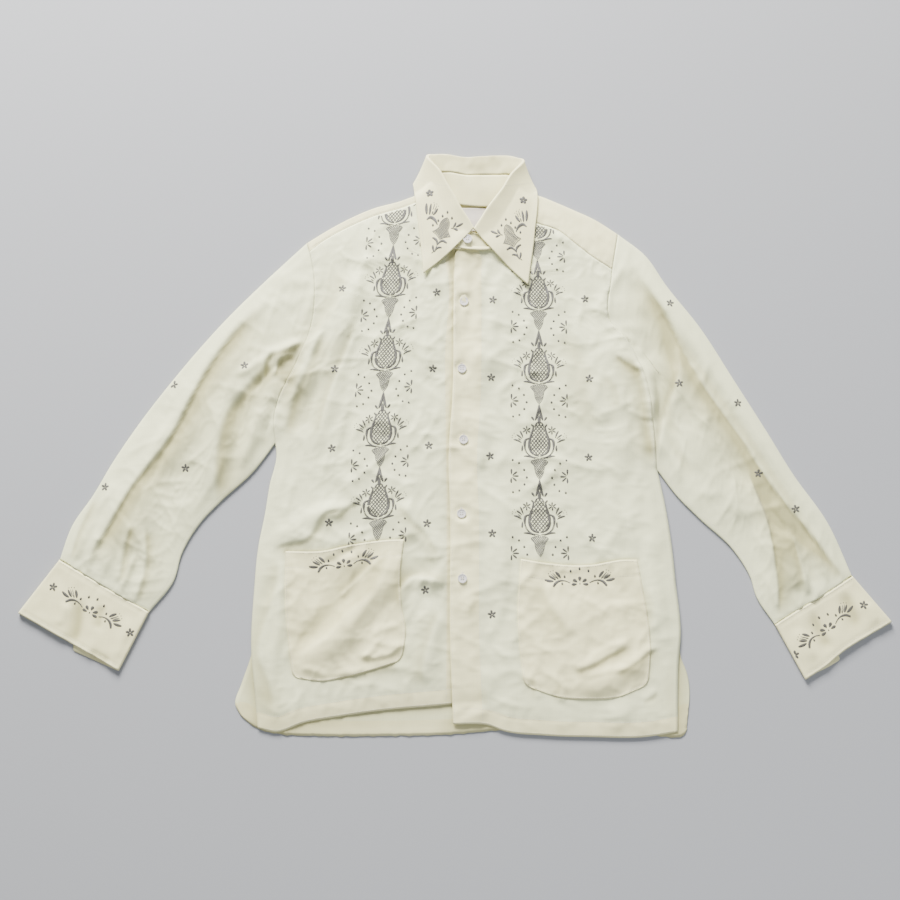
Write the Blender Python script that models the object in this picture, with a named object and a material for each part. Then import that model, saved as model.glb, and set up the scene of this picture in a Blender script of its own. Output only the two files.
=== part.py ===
"""A long-sleeved embroidered shirt, buttoned up and laid flat on its back.

The plan is X to the viewer's right and Y from the hem towards the collar, and Z is the height over the floor.
Left and right are the viewer's. Sizes are in millimetres until a mesh is made, and the meshes are in metres.
"""

import math

import bpy
import numpy as np
from mathutils import Vector
from mathutils.bvhtree import BVHTree

MM = 0.001

# Cloth
CLOTH = 1.2
DOUBLE_CLOTH = 1.6
STAND_CLOTH = 1.4
POCKET_CLOTH = 1.2
LABEL_CLOTH = 0.7
SEAM_GAP = 0.3
YOKE_SEAM_GAP = 0.5
ARMHOLE_GAP = 0.7
ARMHOLE_LEAST_STEP = 6.0
COLLAR_SEAM_GAP = 1.3
LEAF_REST_GAP = 1.1
REST_GAP = 0.4
LAP_REACH = 22.0
CROSSING_START = 0.78
CROSSING_LENGTH = 0.1
POCKET_REST_REACH = 12.0
STAND_REST_REACH = 6.0
COLLAR_REST_REACH = 13.0
COLLAR_SEAM_WEIGHT = 0.6
ROLL_ANGLES = (-90, -45, 0, 45, 90)
LEAST_LEAN = math.radians(17.5)
ORIGIN_SHIFT = (0.0, 0.37)

# Height of the laid cloth: low at every outer edge, fuller inside
EDGE_HEIGHT = 2.7
FULL_HEIGHT = 6.0
RISE_LENGTH = 24.0
FOLD_LINE_HEIGHT = 1.5
FOLD_LINE_REACH = 3.0
CUFF_HEIGHT = 4.7
LOWEST_RISE = 0.5

# Buttons
BUTTON_RADIUS = 5.9
BUTTON_THICKNESS = 2.2
BUTTON_RIM = 1.1
BUTTON_DISH = 0.5
BUTTON_HOLE_RADIUS = 0.8
BUTTON_HOLE_SPACING = 2.9
BUTTON_SIDES = 20
BUTTON_REST_POINTS = 12
BUTTON_REST_REACH = 1.0
BUTTON_SHARP_ANGLE = math.radians(35)
CUTTER_OVERHANG = 1.0
HOLE_SIDES = 6

# Columns of each edge: X, Y
SHOULDER_TO_CUFF_LEFT = (
    (-203, 263), (-259, 208), (-305, 160), (-380, 68), (-420, 12), (-453, -41), (-476, -84), (-502, -126), (-515, -169),
)
SHOULDER_TO_CUFF_RIGHT = (
    (225, 276), (262, 245), (289, 203), (333, 143), (374, 73), (415, 2), (448, -57), (489, -120), (517, -190),
)
UNDERARM_TO_CUFF_LEFT = (
    (-238, -15), (-266, -53), (-311, -96), (-332, -119), (-356, -161), (-365, -196), (-395, -236),
)
UNDERARM_TO_CUFF_RIGHT = (
    (268, -51), (295, -88), (320, -114), (365, -158), (385, -193), (391, -216), (413, -252),
)
ARMHOLE_LEFT = ((-203, 263), (-196, 240), (-198, 131), (-206, 110), (-241, 8), (-238, -15))
ARMHOLE_RIGHT = ((225, 276), (214, 213), (210, 154), (236, 120), (255, 72), (264, 17), (268, -51))
CUFF_SEAM_LEFT = ((-515, -169), (-482, -188), (-440, -212), (-395, -236))
CUFF_SEAM_RIGHT = ((517, -190), (482, -212), (446, -232), (413, -252))
CUFF_HEM_LEFT = ((-564, -237), (-518, -262), (-470, -288), (-430, -310))
CUFF_HEM_RIGHT = ((564, -248), (541, -261), (501, -284), (471, -307), (448, -321))
SIDE_LEFT = (
    (-238, -15), (-236, -29), (-244, -72), (-249, -110), (-256, -150), (-260, -209), (-261, -288), (-256, -330),
    (-250, -381),
)
SIDE_RIGHT = (
    (268, -51), (274, -81), (283, -145), (287, -198), (291, -265), (287, -300), (283, -386),
)
FRONT_HEM_LEFT = (
    (-250, -381), (-227, -386), (-193, -375), (-147, -367), (-88, -359), (-29, -354), (27, -349),
)
FRONT_HEM_RIGHT = ((-2, -376), (44, -378), (60, -384), (113, -390), (173, -392), (240, -392), (283, -386))
NECK_AND_FRONT_EDGE_LEFT = (
    (-52, 321), (-47, 300), (-36, 280), (-14, 263), (18, 254), (24, 238), (25, 100), (27, -100), (27, -349),
)
NECK_AND_FRONT_EDGE_RIGHT = (
    (104, 292), (92, 272), (70, 259), (40, 253), (2, 250), (0, 236), (-1, 183), (-3, 44), (-8, -33), (-6, -109),
    (-6, -272), (-2, -376),
)
BACK_SIDE_AND_HEM = (
    (-238, -15), (-236, -29), (-244, -72), (-249, -110), (-256, -150), (-260, -209), (-261, -288), (-273, -327),
    (-280, -352), (-271, -368), (-248, -383), (-227, -388), (-172, -391), (-87, -391), (-3, -389), (60, -384),
    (150, -387), (240, -389), (294, -386), (300, -328), (298, -314), (290, -290), (291, -265), (287, -198),
    (283, -145), (274, -81), (268, -51),
)
POCKET_LEFT = {
    "top": ((-220, -158), (-173, -158), (-134, -150), (-75, -143), (-66, -143)),
    "bottom": ((-207, -320), (-173, -324), (-142, -319), (-100, -308), (-68, -298)),
    "left": ((-220, -158), (-218, -230), (-207, -320)),
    "right": ((-66, -143), (-70, -190), (-68, -230), (-63, -256), (-68, -298)),
}
POCKET_RIGHT = {
    "top": ((86, -168), (115, -173), (175, -176), (220, -169), (237, -169)),
    "bottom": ((88, -330), (128, -343), (174, -346), (208, -344), (246, -330)),
    "left": ((86, -168), (81, -237), (88, -330)),
    "right": ((237, -169), (244, -211), (251, -283), (246, -330)),
}
POCKET_CORNER = 0.45

# The yoke's fold over each shoulder. Columns: X, Y of the fold, Y of the seam to the front
YOKE_FOLD_LEFT = ((-203, 263, 250), (-162, 289, 277), (-110, 314, 302), (-75, 324, 313), (-52, 333, 321))
YOKE_FOLD_RIGHT = ((104, 336, 292), (120, 331, 288), (141, 322, 281), (165, 311, 263), (192, 298, 243), (225, 276, 224))
YOKE_BACK_SEAM = 225
# Columns: X, Y of the yoke's neck edge
YOKE_NECK = ((-52, 330), (-40, 328), (-20, 324), (0, 321), (26, 318), (51, 317), (75, 320), (92, 326), (104, 333))

# The neck, from the left front end round the back to the right front end.
# Columns: neck seam X, Y, Z; collar seam X, Y, Z; roll X, Y, Z; free edge X, Y, Z; lean of the fall in degrees,
# 90 where it lies on top of the collar seam, 0 where it stands beside it and -90 where it lies below it;
# and radius of the roll. Heights are those of the outer side.
NECK = (
    (2, 252, 8.0, 14, 278, 8.0, 25, 285, 14.5, -42, 217, 6.0, 90, 3.6),
    (-14, 259, 8.0, 6, 290, 8.5, 19, 295, 15.0, -44, 240, 6.0, 90, 4.0),
    (-30, 273, 7.5, -4, 304, 9.0, 9, 310, 15.5, -47, 266, 6.0, 90, 4.4),
    (-40, 290, 7.0, -13, 320, 9.0, 1, 326, 15.5, -50, 292, 6.0, 88, 4.6),
    (-46, 306, 6.5, -20, 336, 8.5, -9, 344, 15.0, -53, 317, 6.0, 82, 4.6),
    (-48, 322, 6.0, -23, 352, 7.0, -20, 365, 13.5, -56, 340, 5.0, 62, 4.4),
    (-40, 327, 4.0, -20, 364, 5.0, -37, 387, 10.0, -56, 350, 3.2, 10, 4.2),
    (-26, 324, 3.2, -10, 366, 3.9, -27, 391, 6.0, -40, 345, 0.2, -60, 3.9),
    (-10, 321, 3.1, 2, 365, 3.6, -10, 392, 3.8, -14, 336, 0.0, -88, 3.8),
    (8, 318, 3.1, 16, 362, 3.6, 14, 388, 3.6, 10, 333, 0.0, -90, 3.6),
    (27, 316, 3.1, 31, 362, 3.6, 34, 389, 3.6, 30, 332, 0.0, -90, 3.6),
    (46, 315, 3.1, 48, 362, 3.6, 56, 390, 3.6, 52, 332, 0.0, -90, 3.6),
    (64, 316, 3.1, 62, 362, 3.6, 74, 390, 3.8, 78, 337, 0.0, -88, 3.8),
    (79, 319, 3.2, 73, 362, 3.9, 88, 386, 6.0, 98, 342, 0.2, -60, 3.9),
    (92, 323, 4.0, 80, 359, 5.0, 95, 380, 10.0, 111, 345, 3.2, 10, 4.2),
    (100, 314, 6.0, 81, 346, 7.0, 78, 360, 13.5, 115, 331, 5.0, 62, 4.4),
    (99, 300, 6.5, 77, 330, 8.5, 66, 339, 15.0, 114, 308, 6.0, 82, 4.6),
    (93, 284, 7.0, 69, 313, 9.0, 56, 325, 15.5, 111, 283, 6.0, 88, 4.6),
    (81, 267, 7.5, 58, 298, 9.0, 46, 311, 15.5, 108, 256, 6.0, 90, 4.4),
    (64, 257, 8.0, 46, 284, 8.5, 36, 297, 15.0, 104, 229, 6.0, 90, 4.0),
    (46, 250, 8.0, 36, 274, 8.0, 27, 284, 14.5, 100, 201, 6.0, 90, 3.6),
)
# The two ends of the stand run on past the collar and cross at the centre front.
# Columns: neck seam X, Y; collar seam X, Y
STAND_END_LEFT = ((34, 251, 33, 274), (18, 251, 24, 276))
STAND_END_RIGHT = ((24, 250, 26, 276), (2, 254, 13, 280))

# Large folds and troughs.
# Columns: start X, Y; end X, Y; bow to the left of its run; half-width on the left and on the right; height
FOLDS = (
    # left sleeve
    (-250, 150, -492, -178, -2, 17, 12, 5.0),
    (-255, 128, -485, -182, -12, 10, 12, -3.2),
    (-309, 55, -321, -95, 6, 12, 16, 3.6),
    (-290, 58, -300, -80, 8, 9, 9, -2.6),
    (-236, 92, -300, -62, 12, 12, 12, 3.4),
    (-240, 60, -262, -45, 4, 9, 9, -2.4),
    (-395, 30, -475, -120, -8, 20, 20, 2.4),
    (-420, -170, -388, -70, 6, 16, 14, 2.8),
    (-455, -196, -428, -110, 4, 10, 10, 3.0),
    # right sleeve
    (236, 250, 512, -182, 6, 18, 9, 7.5),
    (226, 236, 500, -192, 4, 9, 8, -3.4),
    (262, 120, 352, -60, 14, 18, 18, 3.0),
    (300, 20, 390, -130, -6, 16, 14, 2.6),
    (278, 60, 320, -70, -8, 10, 10, -2.4),
    (438, -214, 418, -120, -6, 12, 14, 3.4),
    (474, -206, 446, -118, 6, 9, 9, -2.2),
    # folds at the underarms
    (-205, 122, -246, 92, -4, 9, 7, 4.0),
    (-216, 104, -240, 76, 2, 7, 8, -3.0),
    (250, 100, 262, 12, 6, 8, 10, 4.0),
    (268, 88, 276, 6, 4, 8, 8, -2.4),
    # left front
    (-138, 225, -203, 40, 14, 15, 18, 3.8),
    (-156, 96, -188, -40, 6, 14, 16, 3.0),
    (-176, 120, -214, -10, 8, 11, 11, -2.6),
    (-246, -150, -130, -98, 8, 12, 14, 3.6),
    (-60, -88, -52, -150, -4, 10, 12, 2.6),
    (-76, -152, -204, -322, 14, 16, 20, 4.0),
    (-98, -150, -218, -290, 12, 12, 12, -2.4),
    (-226, -165, -240, -365, 6, 8, 10, 3.0),
    (-52, -193, -6, -195, 0, 6, 8, 2.2),
    (-48, 215, -40, 60, 6, 14, 14, 2.0),
    (-30, -230, -60, -340, 6, 14, 14, 2.2),
    # right front
    (60, 215, 46, 40, -6, 16, 18, 2.4),
    (196, 150, 222, -80, 10, 16, 18, 3.4),
    (150, 120, 168, -60, -8, 16, 16, 1.8),
    (64, -60, 40, -240, 8, 14, 16, 2.4),
    (150, -336, 252, -288, -6, 12, 14, 3.4),
    (122, -200, 196, -330, -10, 16, 18, 2.2),
    (40, -300, 34, -378, 0, 10, 10, 2.6),
    (258, -110, 270, -300, -6, 12, 10, 2.6),
)
FOLD_FADE = 0.28

# How far a cuff's lower layer shows past its hem. Columns: share of the hem's length; length that shows
UNDER_CUFF = ((0, 0), (0.5, 0), (0.75, 5.0), (1, 1.5))

# Columns: X, Y of each button's middle
BUTTONS = ((18, 265), (13, 178), (10, 85), (12, -11), (9, -109), (10, -193))

LABEL_MIDDLE = (24, 297)
LABEL_SIZE = (50, 34)
LABEL_CELLS = 2

# Columns: material, linear colour, roughness
FINISHES = (
    ("single cloth", (0.76, 0.74, 0.62), 0.55),
    ("double cloth", (0.80, 0.76, 0.60), 0.55),
    ("button shell", (0.86, 0.84, 0.78), 0.3),
    ("label tape", (0.82, 0.80, 0.74), 0.6),
)

# Grid sizes: rows along the piece, columns across it
ARMHOLE_COLUMNS = 10
SIDE_ROWS = 15
FRONT_COLUMNS = 12
SLEEVE_ROWS = 24
CUFF_GRID = (4, 9)
POCKET_GRID = (10, 10)
YOKE_BACK_ROWS = 4
YOKE_FRONT_ROWS = 4
YOKE_COLUMNS = 6
YOKE_NECK_COLUMNS = 8
COLLAR_STATIONS = 44
COLLAR_FALL_ROWS = 7
STAND_STATIONS = 34
STAND_ROWS = 2
OUTLINE_POINTS = 40
BACK_POINTS = 45


def clear_scene():
    for obj in list(bpy.data.objects):
        bpy.data.objects.remove(obj, do_unlink=True)


def material(name, colour, roughness):
    """A Principled material in linear colour."""
    made = bpy.data.materials.new(name)
    made.use_nodes = True
    shader = made.node_tree.nodes["Principled BSDF"]
    shader.inputs["Base Color"].default_value = (*colour, 1.0)
    shader.inputs["Roughness"].default_value = roughness
    shader.inputs["Metallic"].default_value = 0.0
    return made


def curve(rows, at, by="length"):
    """The smooth curve through the rows, read at the shares in at, which run from 0 at its start to 1 at its end.

    Shares count the length in plan, the fall in Y, or the rows themselves.
    """
    rows = np.asarray(rows, float)
    if by == "length":
        steps = np.linalg.norm(np.diff(rows[:, :2], axis=0), axis=1)
    elif by == "level":
        steps = np.abs(np.diff(rows[:, 1]))
    else:
        steps = np.ones(len(rows) - 1)
    knots = np.concatenate([[0.0], np.cumsum(steps)])
    knots /= knots[-1]
    gaps = np.diff(knots)[:, None]
    slopes = np.diff(rows, axis=0) / gaps
    inner = (slopes[:-1] * gaps[1:] + slopes[1:] * gaps[:-1]) / (gaps[:-1] + gaps[1:])
    tangents = np.concatenate([slopes[:1], inner, slopes[-1:]])
    at = np.clip(np.asarray(at, float), 0.0, 1.0)
    i = np.clip(np.searchsorted(knots, at, side="right") - 1, 0, len(rows) - 2)
    gap = gaps[i]
    s = (at[:, None] - knots[i][:, None]) / gap
    return (
        (2 * s**3 - 3 * s**2 + 1) * rows[i]
        + (s**3 - 2 * s**2 + s) * gap * tangents[i]
        + (3 * s**2 - 2 * s**3) * rows[i + 1]
        + (s**3 - s**2) * gap * tangents[i + 1]
    )


def patch(top, bottom, left, right, down=None):
    """The plan of a panel between its four edges, each read at the same shares as the edge that faces it."""
    down = np.linspace(0, 1, len(left)) if down is None else down
    u = down[:, None, None]
    w = np.linspace(0, 1, len(top))[None, :, None]
    corners = (
        (1 - u) * (1 - w) * top[0]
        + (1 - u) * w * top[-1]
        + u * (1 - w) * bottom[0]
        + u * w * bottom[-1]
    )
    return (1 - u) * top[None] + u * bottom[None] + (1 - w) * left[:, None] + w * right[:, None] - corners


def outline():
    """The outer edge of the laid shirt in plan, from the left shoulder round the hem to the right shoulder."""
    read = np.linspace(0, 1, OUTLINE_POINTS)
    left = [
        curve([row[:2] for row in reversed(YOKE_FOLD_LEFT)], read),
        curve(SHOULDER_TO_CUFF_LEFT, read),
        curve(CUFF_HEM_LEFT, read),
        curve(UNDERARM_TO_CUFF_LEFT, read)[::-1],
        curve(SIDE_LEFT, read),
        curve(FRONT_HEM_LEFT, read),
    ]
    right = [
        curve(FRONT_HEM_RIGHT, read),
        curve(SIDE_RIGHT, read)[::-1],
        curve(UNDERARM_TO_CUFF_RIGHT, read),
        curve(CUFF_HEM_RIGHT, read)[::-1],
        curve(SHOULDER_TO_CUFF_RIGHT, read)[::-1],
        curve([row[:2] for row in reversed(YOKE_FOLD_RIGHT)], read),
    ]
    return np.concatenate(left + right)


OUTLINE = outline()


def edge_distance(x, y):
    """How far a point in plan lies from the nearest stretch of the outline."""
    points = np.stack([x, y], axis=-1)[..., None, :]
    start, run = OUTLINE[:-1], np.diff(OUTLINE, axis=0)
    length = np.maximum((run**2).sum(-1), 1e-9)
    share = np.clip(((points - start) * run).sum(-1) / length, 0, 1)
    return np.linalg.norm(points - start - share[..., None] * run, axis=-1).min(-1)


def smooth_step(value):
    value = np.clip(value, 0, 1)
    return value * value * (3 - 2 * value)


def folds_height(x, y):
    """The sum of the folds: each is a bell across its bowed run, wider on one side, that fades out at both ends."""
    total = np.zeros_like(x)
    for x0, y0, x1, y1, bow, left_width, right_width, height in FOLDS:
        length = math.hypot(x1 - x0, y1 - y0)
        along_x, along_y = (x1 - x0) / length, (y1 - y0) / length
        share = ((x - x0) * along_x + (y - y0) * along_y) / length
        across = (y - y0) * along_x - (x - x0) * along_y
        across = across - bow * 4 * share * (1 - share)
        width = np.where(across > 0, left_width, right_width)
        fade = smooth_step(share / FOLD_FADE) * smooth_step((1 - share) / FOLD_FADE)
        total += height * fade * np.exp(-((across / width) ** 2))
    return total


def cloth_height(x, y):
    """The height of the upper layer: it rises from the outline, and the folds are laid over that."""
    rise = 1 - np.exp(-edge_distance(x, y) / RISE_LENGTH)
    height = EDGE_HEIGHT + (FULL_HEIGHT - EDGE_HEIGHT + folds_height(x, y)) * rise
    return np.maximum(height, EDGE_HEIGHT + LOWEST_RISE * rise)


def with_height(plan, height):
    return np.concatenate([plan, height[..., None]], axis=-1)


def grid_faces(rows, columns, round_about=False):
    """The corner numbers of each four-sided face of a grid, and of the closing faces on a tube."""
    r = np.arange(rows - 1)[:, None]
    c = np.arange(columns if round_about else columns - 1)[None, :]
    nxt = (c + 1) % columns
    faces = np.stack([r * columns + c, r * columns + nxt, (r + 1) * columns + nxt, (r + 1) * columns + c], -1)
    return faces.reshape(-1, 4)


def add_sheet(name, points, faces, thickness, finish, flip=False, even=True):
    """One piece of cloth: points are its outer side, and its thickness goes inwards."""
    points = points.reshape(-1, 3).copy()
    points[:, 0] += ORIGIN_SHIFT[0]
    points[:, 1] += ORIGIN_SHIFT[1]
    faces = np.asarray(faces)
    if flip:
        faces = faces[:, ::-1]
    used = np.unique(faces)
    renumber = np.full(len(points), -1)
    renumber[used] = np.arange(len(used))
    mesh = bpy.data.meshes.new(name)
    mesh.from_pydata((points[used] * MM).tolist(), [], renumber[faces].tolist())
    mesh.validate()
    mesh.materials.append(finish)
    mesh.shade_smooth()
    obj = bpy.data.objects.new(name, mesh)
    bpy.context.scene.collection.objects.link(obj)
    wall = obj.modifiers.new("Cloth", "SOLIDIFY")
    wall.thickness = thickness * MM
    wall.offset = -1.0
    wall.use_even_offset = even
    return obj


def shape_below(objects):
    """Search trees of finished pieces, for laying the next piece on them."""
    bpy.context.view_layer.update()
    graph = bpy.context.evaluated_depsgraph_get()
    return [BVHTree.FromObject(obj, graph) for obj in objects]


def highest_below(trees, x, y, reach):
    """The highest point of the pieces below, within reach of each point in plan, or 0 where there is none."""
    found = np.zeros(x.shape)
    offsets = [(0.0, 0.0)]
    for ring in (reach / 2, reach):
        offsets += [(ring * math.cos(a), ring * math.sin(a)) for a in np.arange(8) * math.pi / 4]
    down = Vector((0, 0, -1))
    for index in np.ndindex(x.shape):
        for dx, dy in offsets:
            start = Vector(((x[index] + dx + ORIGIN_SHIFT[0]) * MM, (y[index] + dy + ORIGIN_SHIFT[1]) * MM, 1.0))
            for tree in trees:
                place = tree.ray_cast(start, down)[0]
                if place is not None:
                    found[index] = max(found[index], place.z / MM)
    return found


def shares(count):
    return np.linspace(0, 1, count + 1)


def armhole(rows):
    """The corners of an armhole's seam, which the front, the back and the sleeve share."""
    return curve(rows, shares(ARMHOLE_COLUMNS))


def armhole_x(seam, y):
    return np.interp(y, seam[::-1, 1], seam[::-1, 0])


def make_back(finish):
    """The back panel: one flat outline below the yoke, lying on the floor."""
    below = YOKE_BACK_SEAM - SEAM_GAP
    sides = []
    for rows, inward in ((ARMHOLE_LEFT, ARMHOLE_GAP), (ARMHOLE_RIGHT, -ARMHOLE_GAP)):
        seam = armhole(rows)
        top = [(armhole_x(seam, below), below)]
        lower = seam[seam[:, 1] < below - ARMHOLE_LEAST_STEP]
        edge = np.concatenate([top, lower])
        edge[:, 0] += inward
        sides.append(edge)
    rim = np.concatenate([sides[0][:-1], curve(BACK_SIDE_AND_HEM, shares(BACK_POINTS - 1)), sides[1][::-1][1:]])
    points = with_height(rim, np.zeros(len(rim)))
    return add_sheet("back", points, [list(range(len(rim)))], CLOTH, finish, flip=True)


def shoulder_columns(fold_rows):
    """The yoke's columns over one shoulder: X, Y of the fold and Y of the seam to the front."""
    return curve(fold_rows, shares(YOKE_COLUMNS))


def make_yoke(finish):
    """The yoke: flat under the neck, and folded forwards over each shoulder to meet the front."""
    left = shoulder_columns(YOKE_FOLD_LEFT)
    right = shoulder_columns(YOKE_FOLD_RIGHT)
    neck = curve(YOKE_NECK, shares(YOKE_NECK_COLUMNS))[1:-1]
    columns_x = np.concatenate([left[:, 0], neck[:, 0], right[:, 0]])
    fold_y = np.concatenate([left[:, 1], neck[:, 1], right[:, 1]])
    seam_y = np.concatenate([left[:, 2], neck[:, 1], right[:, 2]])
    on_neck = np.zeros(len(columns_x), bool)
    on_neck[len(left) : len(left) + len(neck)] = True
    to_left = np.concatenate([1 - shares(YOKE_COLUMNS), np.zeros(len(neck) + len(right))])
    to_right = np.concatenate([np.zeros(len(left) + len(neck)), shares(YOKE_COLUMNS)])
    seam_left, seam_right = armhole(ARMHOLE_LEFT), armhole(ARMHOLE_RIGHT)

    def x_at(y):
        """Each column's X at a level: the outer columns follow the armholes, a seam's gap inside them."""
        shift_left = armhole_x(seam_left, y) - seam_left[0, 0] + ARMHOLE_GAP
        shift_right = armhole_x(seam_right, y) - seam_right[0, 0] - ARMHOLE_GAP
        return columns_x + shift_left * to_left + shift_right * to_right

    reach = np.where(on_neck, 0.0, FOLD_LINE_REACH)
    lower_y = YOKE_BACK_SEAM + (fold_y - reach - YOKE_BACK_SEAM) * shares(YOKE_BACK_ROWS)[:, None]
    lower = np.stack([x_at(lower_y), lower_y, np.zeros_like(lower_y)], -1)
    fold = np.stack([x_at(fold_y), fold_y, np.full_like(fold_y, FOLD_LINE_HEIGHT)], -1)[None]
    upper_y = fold_y - reach + (seam_y - fold_y + reach) * shares(YOKE_FRONT_ROWS)[:, None]
    upper = np.stack([x_at(upper_y), upper_y, cloth_height(x_at(upper_y), upper_y)], -1)
    points = np.concatenate([lower, fold, upper])
    faces = grid_faces(len(points), len(columns_x)).reshape(len(points) - 1, -1, 4)
    kept = []
    for row, row_faces in enumerate(faces):
        for column, face in enumerate(row_faces):
            in_neck = on_neck[column] or on_neck[column + 1]
            if row < YOKE_BACK_ROWS or not in_neck:
                kept.append(face)
    return add_sheet("yoke", points, kept, CLOTH, finish, flip=True)


def yoke_seam(fold_rows, arm_rows, inward, armhole_first):
    """The corners of the yoke's seam to a front, and the points half way between them."""
    columns = shoulder_columns(fold_rows)
    arm = armhole(arm_rows)
    weight = shares(YOKE_COLUMNS) if not armhole_first else 1 - shares(YOKE_COLUMNS)
    x = columns[:, 0] + weight * (armhole_x(arm, columns[:, 2]) - arm[0, 0] + inward)
    halves = np.linspace(0, YOKE_COLUMNS, FRONT_COLUMNS + 1)
    index = np.arange(YOKE_COLUMNS + 1)
    return np.stack([np.interp(halves, index, x), np.interp(halves, index, columns[:, 2])], -1)


def front_plan(fold, arm_rows, side_rows, centre_rows, hem_rows, armhole_first):
    """A front's plan: its armhole and side on one edge, its neck and front edge on the other."""
    arm = armhole(arm_rows)
    top = yoke_seam(fold, arm_rows, ARMHOLE_GAP if armhole_first else -ARMHOLE_GAP, armhole_first)
    top[:, 1] -= YOKE_SEAM_GAP
    top_y = top[0 if armhole_first else -1][1]
    corner = (armhole_x(arm, top_y), top_y)
    outer = np.concatenate(
        [
            [corner],
            arm[arm[:, 1] < top_y - ARMHOLE_LEAST_STEP],
            curve(side_rows, shares(SIDE_ROWS))[1:],
        ]
    )
    down = (outer[0, 1] - outer[:, 1]) / (outer[0, 1] - outer[-1, 1])
    neck_corner = top[-1] if armhole_first else top[0]
    centre = curve([tuple(neck_corner), *centre_rows[1:]], down, by="level")
    hem = curve(hem_rows, shares(FRONT_COLUMNS))
    if armhole_first:
        top[0] = corner
        return patch(top, hem, outer, centre, down)
    top[-1] = corner
    return patch(top, hem, centre, outer, down)


def make_front(name, plan, below, finish):
    """A front panel, laid over the back and, on the lap, over the other front."""
    height = cloth_height(plan[..., 0], plan[..., 1])
    if below:
        lap = highest_below(shape_below(below), plan[..., 0], plan[..., 1], LAP_REACH)
        height = np.maximum(height, lap + REST_GAP + CLOTH)
    return add_sheet(name, with_height(plan, height), grid_faces(*plan.shape[:2]), CLOTH, finish, flip=True)


def make_fronts(finish):
    plan_left = front_plan(
        YOKE_FOLD_LEFT, ARMHOLE_LEFT, SIDE_LEFT, NECK_AND_FRONT_EDGE_LEFT, FRONT_HEM_LEFT, True
    )
    plan_right = front_plan(
        YOKE_FOLD_RIGHT, ARMHOLE_RIGHT, SIDE_RIGHT, NECK_AND_FRONT_EDGE_RIGHT, FRONT_HEM_RIGHT, False
    )
    left = make_front("front_left", plan_left, [], finish)
    right = make_front("front_right", plan_right, [left], finish)
    return left, right


def off_the_folds(plan):
    """The plan with its first and last columns moved in from the folds along each edge."""
    moved = plan.copy()
    for edge, inner in ((0, 1), (-1, -2)):
        run = plan[:, inner] - plan[:, edge]
        moved[:, edge] += FOLD_LINE_REACH * run / np.linalg.norm(run, axis=1)[:, None]
    return moved


def make_tube(name, plan, height, lower_plan, thickness, finish, flip):
    """A flattened tube: an upper layer at its height, a lower layer on the floor, and a fold along each edge."""
    upper, lower = off_the_folds(plan), off_the_folds(lower_plan)
    first = with_height(plan[:, :1], np.full((len(plan), 1), FOLD_LINE_HEIGHT))
    last = with_height(plan[:, -1:], np.full((len(plan), 1), FOLD_LINE_HEIGHT))
    top = with_height(upper, height(upper[..., 0], upper[..., 1]))
    bottom = with_height(lower[:, ::-1], np.zeros(lower.shape[:2]))
    points = np.concatenate([first, top, last, bottom], axis=1)
    faces = grid_faces(*points.shape[:2], round_about=True)
    return add_sheet(name, points, faces, thickness, finish, flip)


def make_sleeve(name, arm_rows, cuff_seam, outer, inner, finish, flip):
    rows, columns = shares(SLEEVE_ROWS), shares(ARMHOLE_COLUMNS)
    plan = patch(armhole(arm_rows), curve(cuff_seam, columns), curve(outer, rows), curve(inner, rows))
    # The sleeve stops short of the body and of the cuff by a seam's gap.
    first_run = plan[1] - plan[0]
    last_run = plan[-2] - plan[-1]
    plan[0] += ARMHOLE_GAP * first_run / np.linalg.norm(first_run, axis=1)[:, None]
    plan[-1] += SEAM_GAP * last_run / np.linalg.norm(last_run, axis=1)[:, None]
    return make_tube(name, plan, cloth_height, plan, CLOTH, finish, flip)


def make_cuff(name, seam, hem, finish, flip):
    """A cuff: a flattened band whose lower layer shows a little past its upper one."""
    rows, columns = (shares(n) for n in CUFF_GRID)
    seam, hem = curve(seam, columns), curve(hem, columns)
    plan = seam[None] + (hem - seam)[None] * rows[:, None, None]
    run = (hem - seam) / np.linalg.norm(hem - seam, axis=1)[:, None]
    under = np.interp(columns, *zip(*UNDER_CUFF))
    lower = plan + run[None] * under[None, :, None] * rows[:, None, None]

    def height(x, y):
        return np.full(x.shape, CUFF_HEIGHT)

    return make_tube(name, plan, height, lower, DOUBLE_CLOTH, finish, flip)


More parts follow.
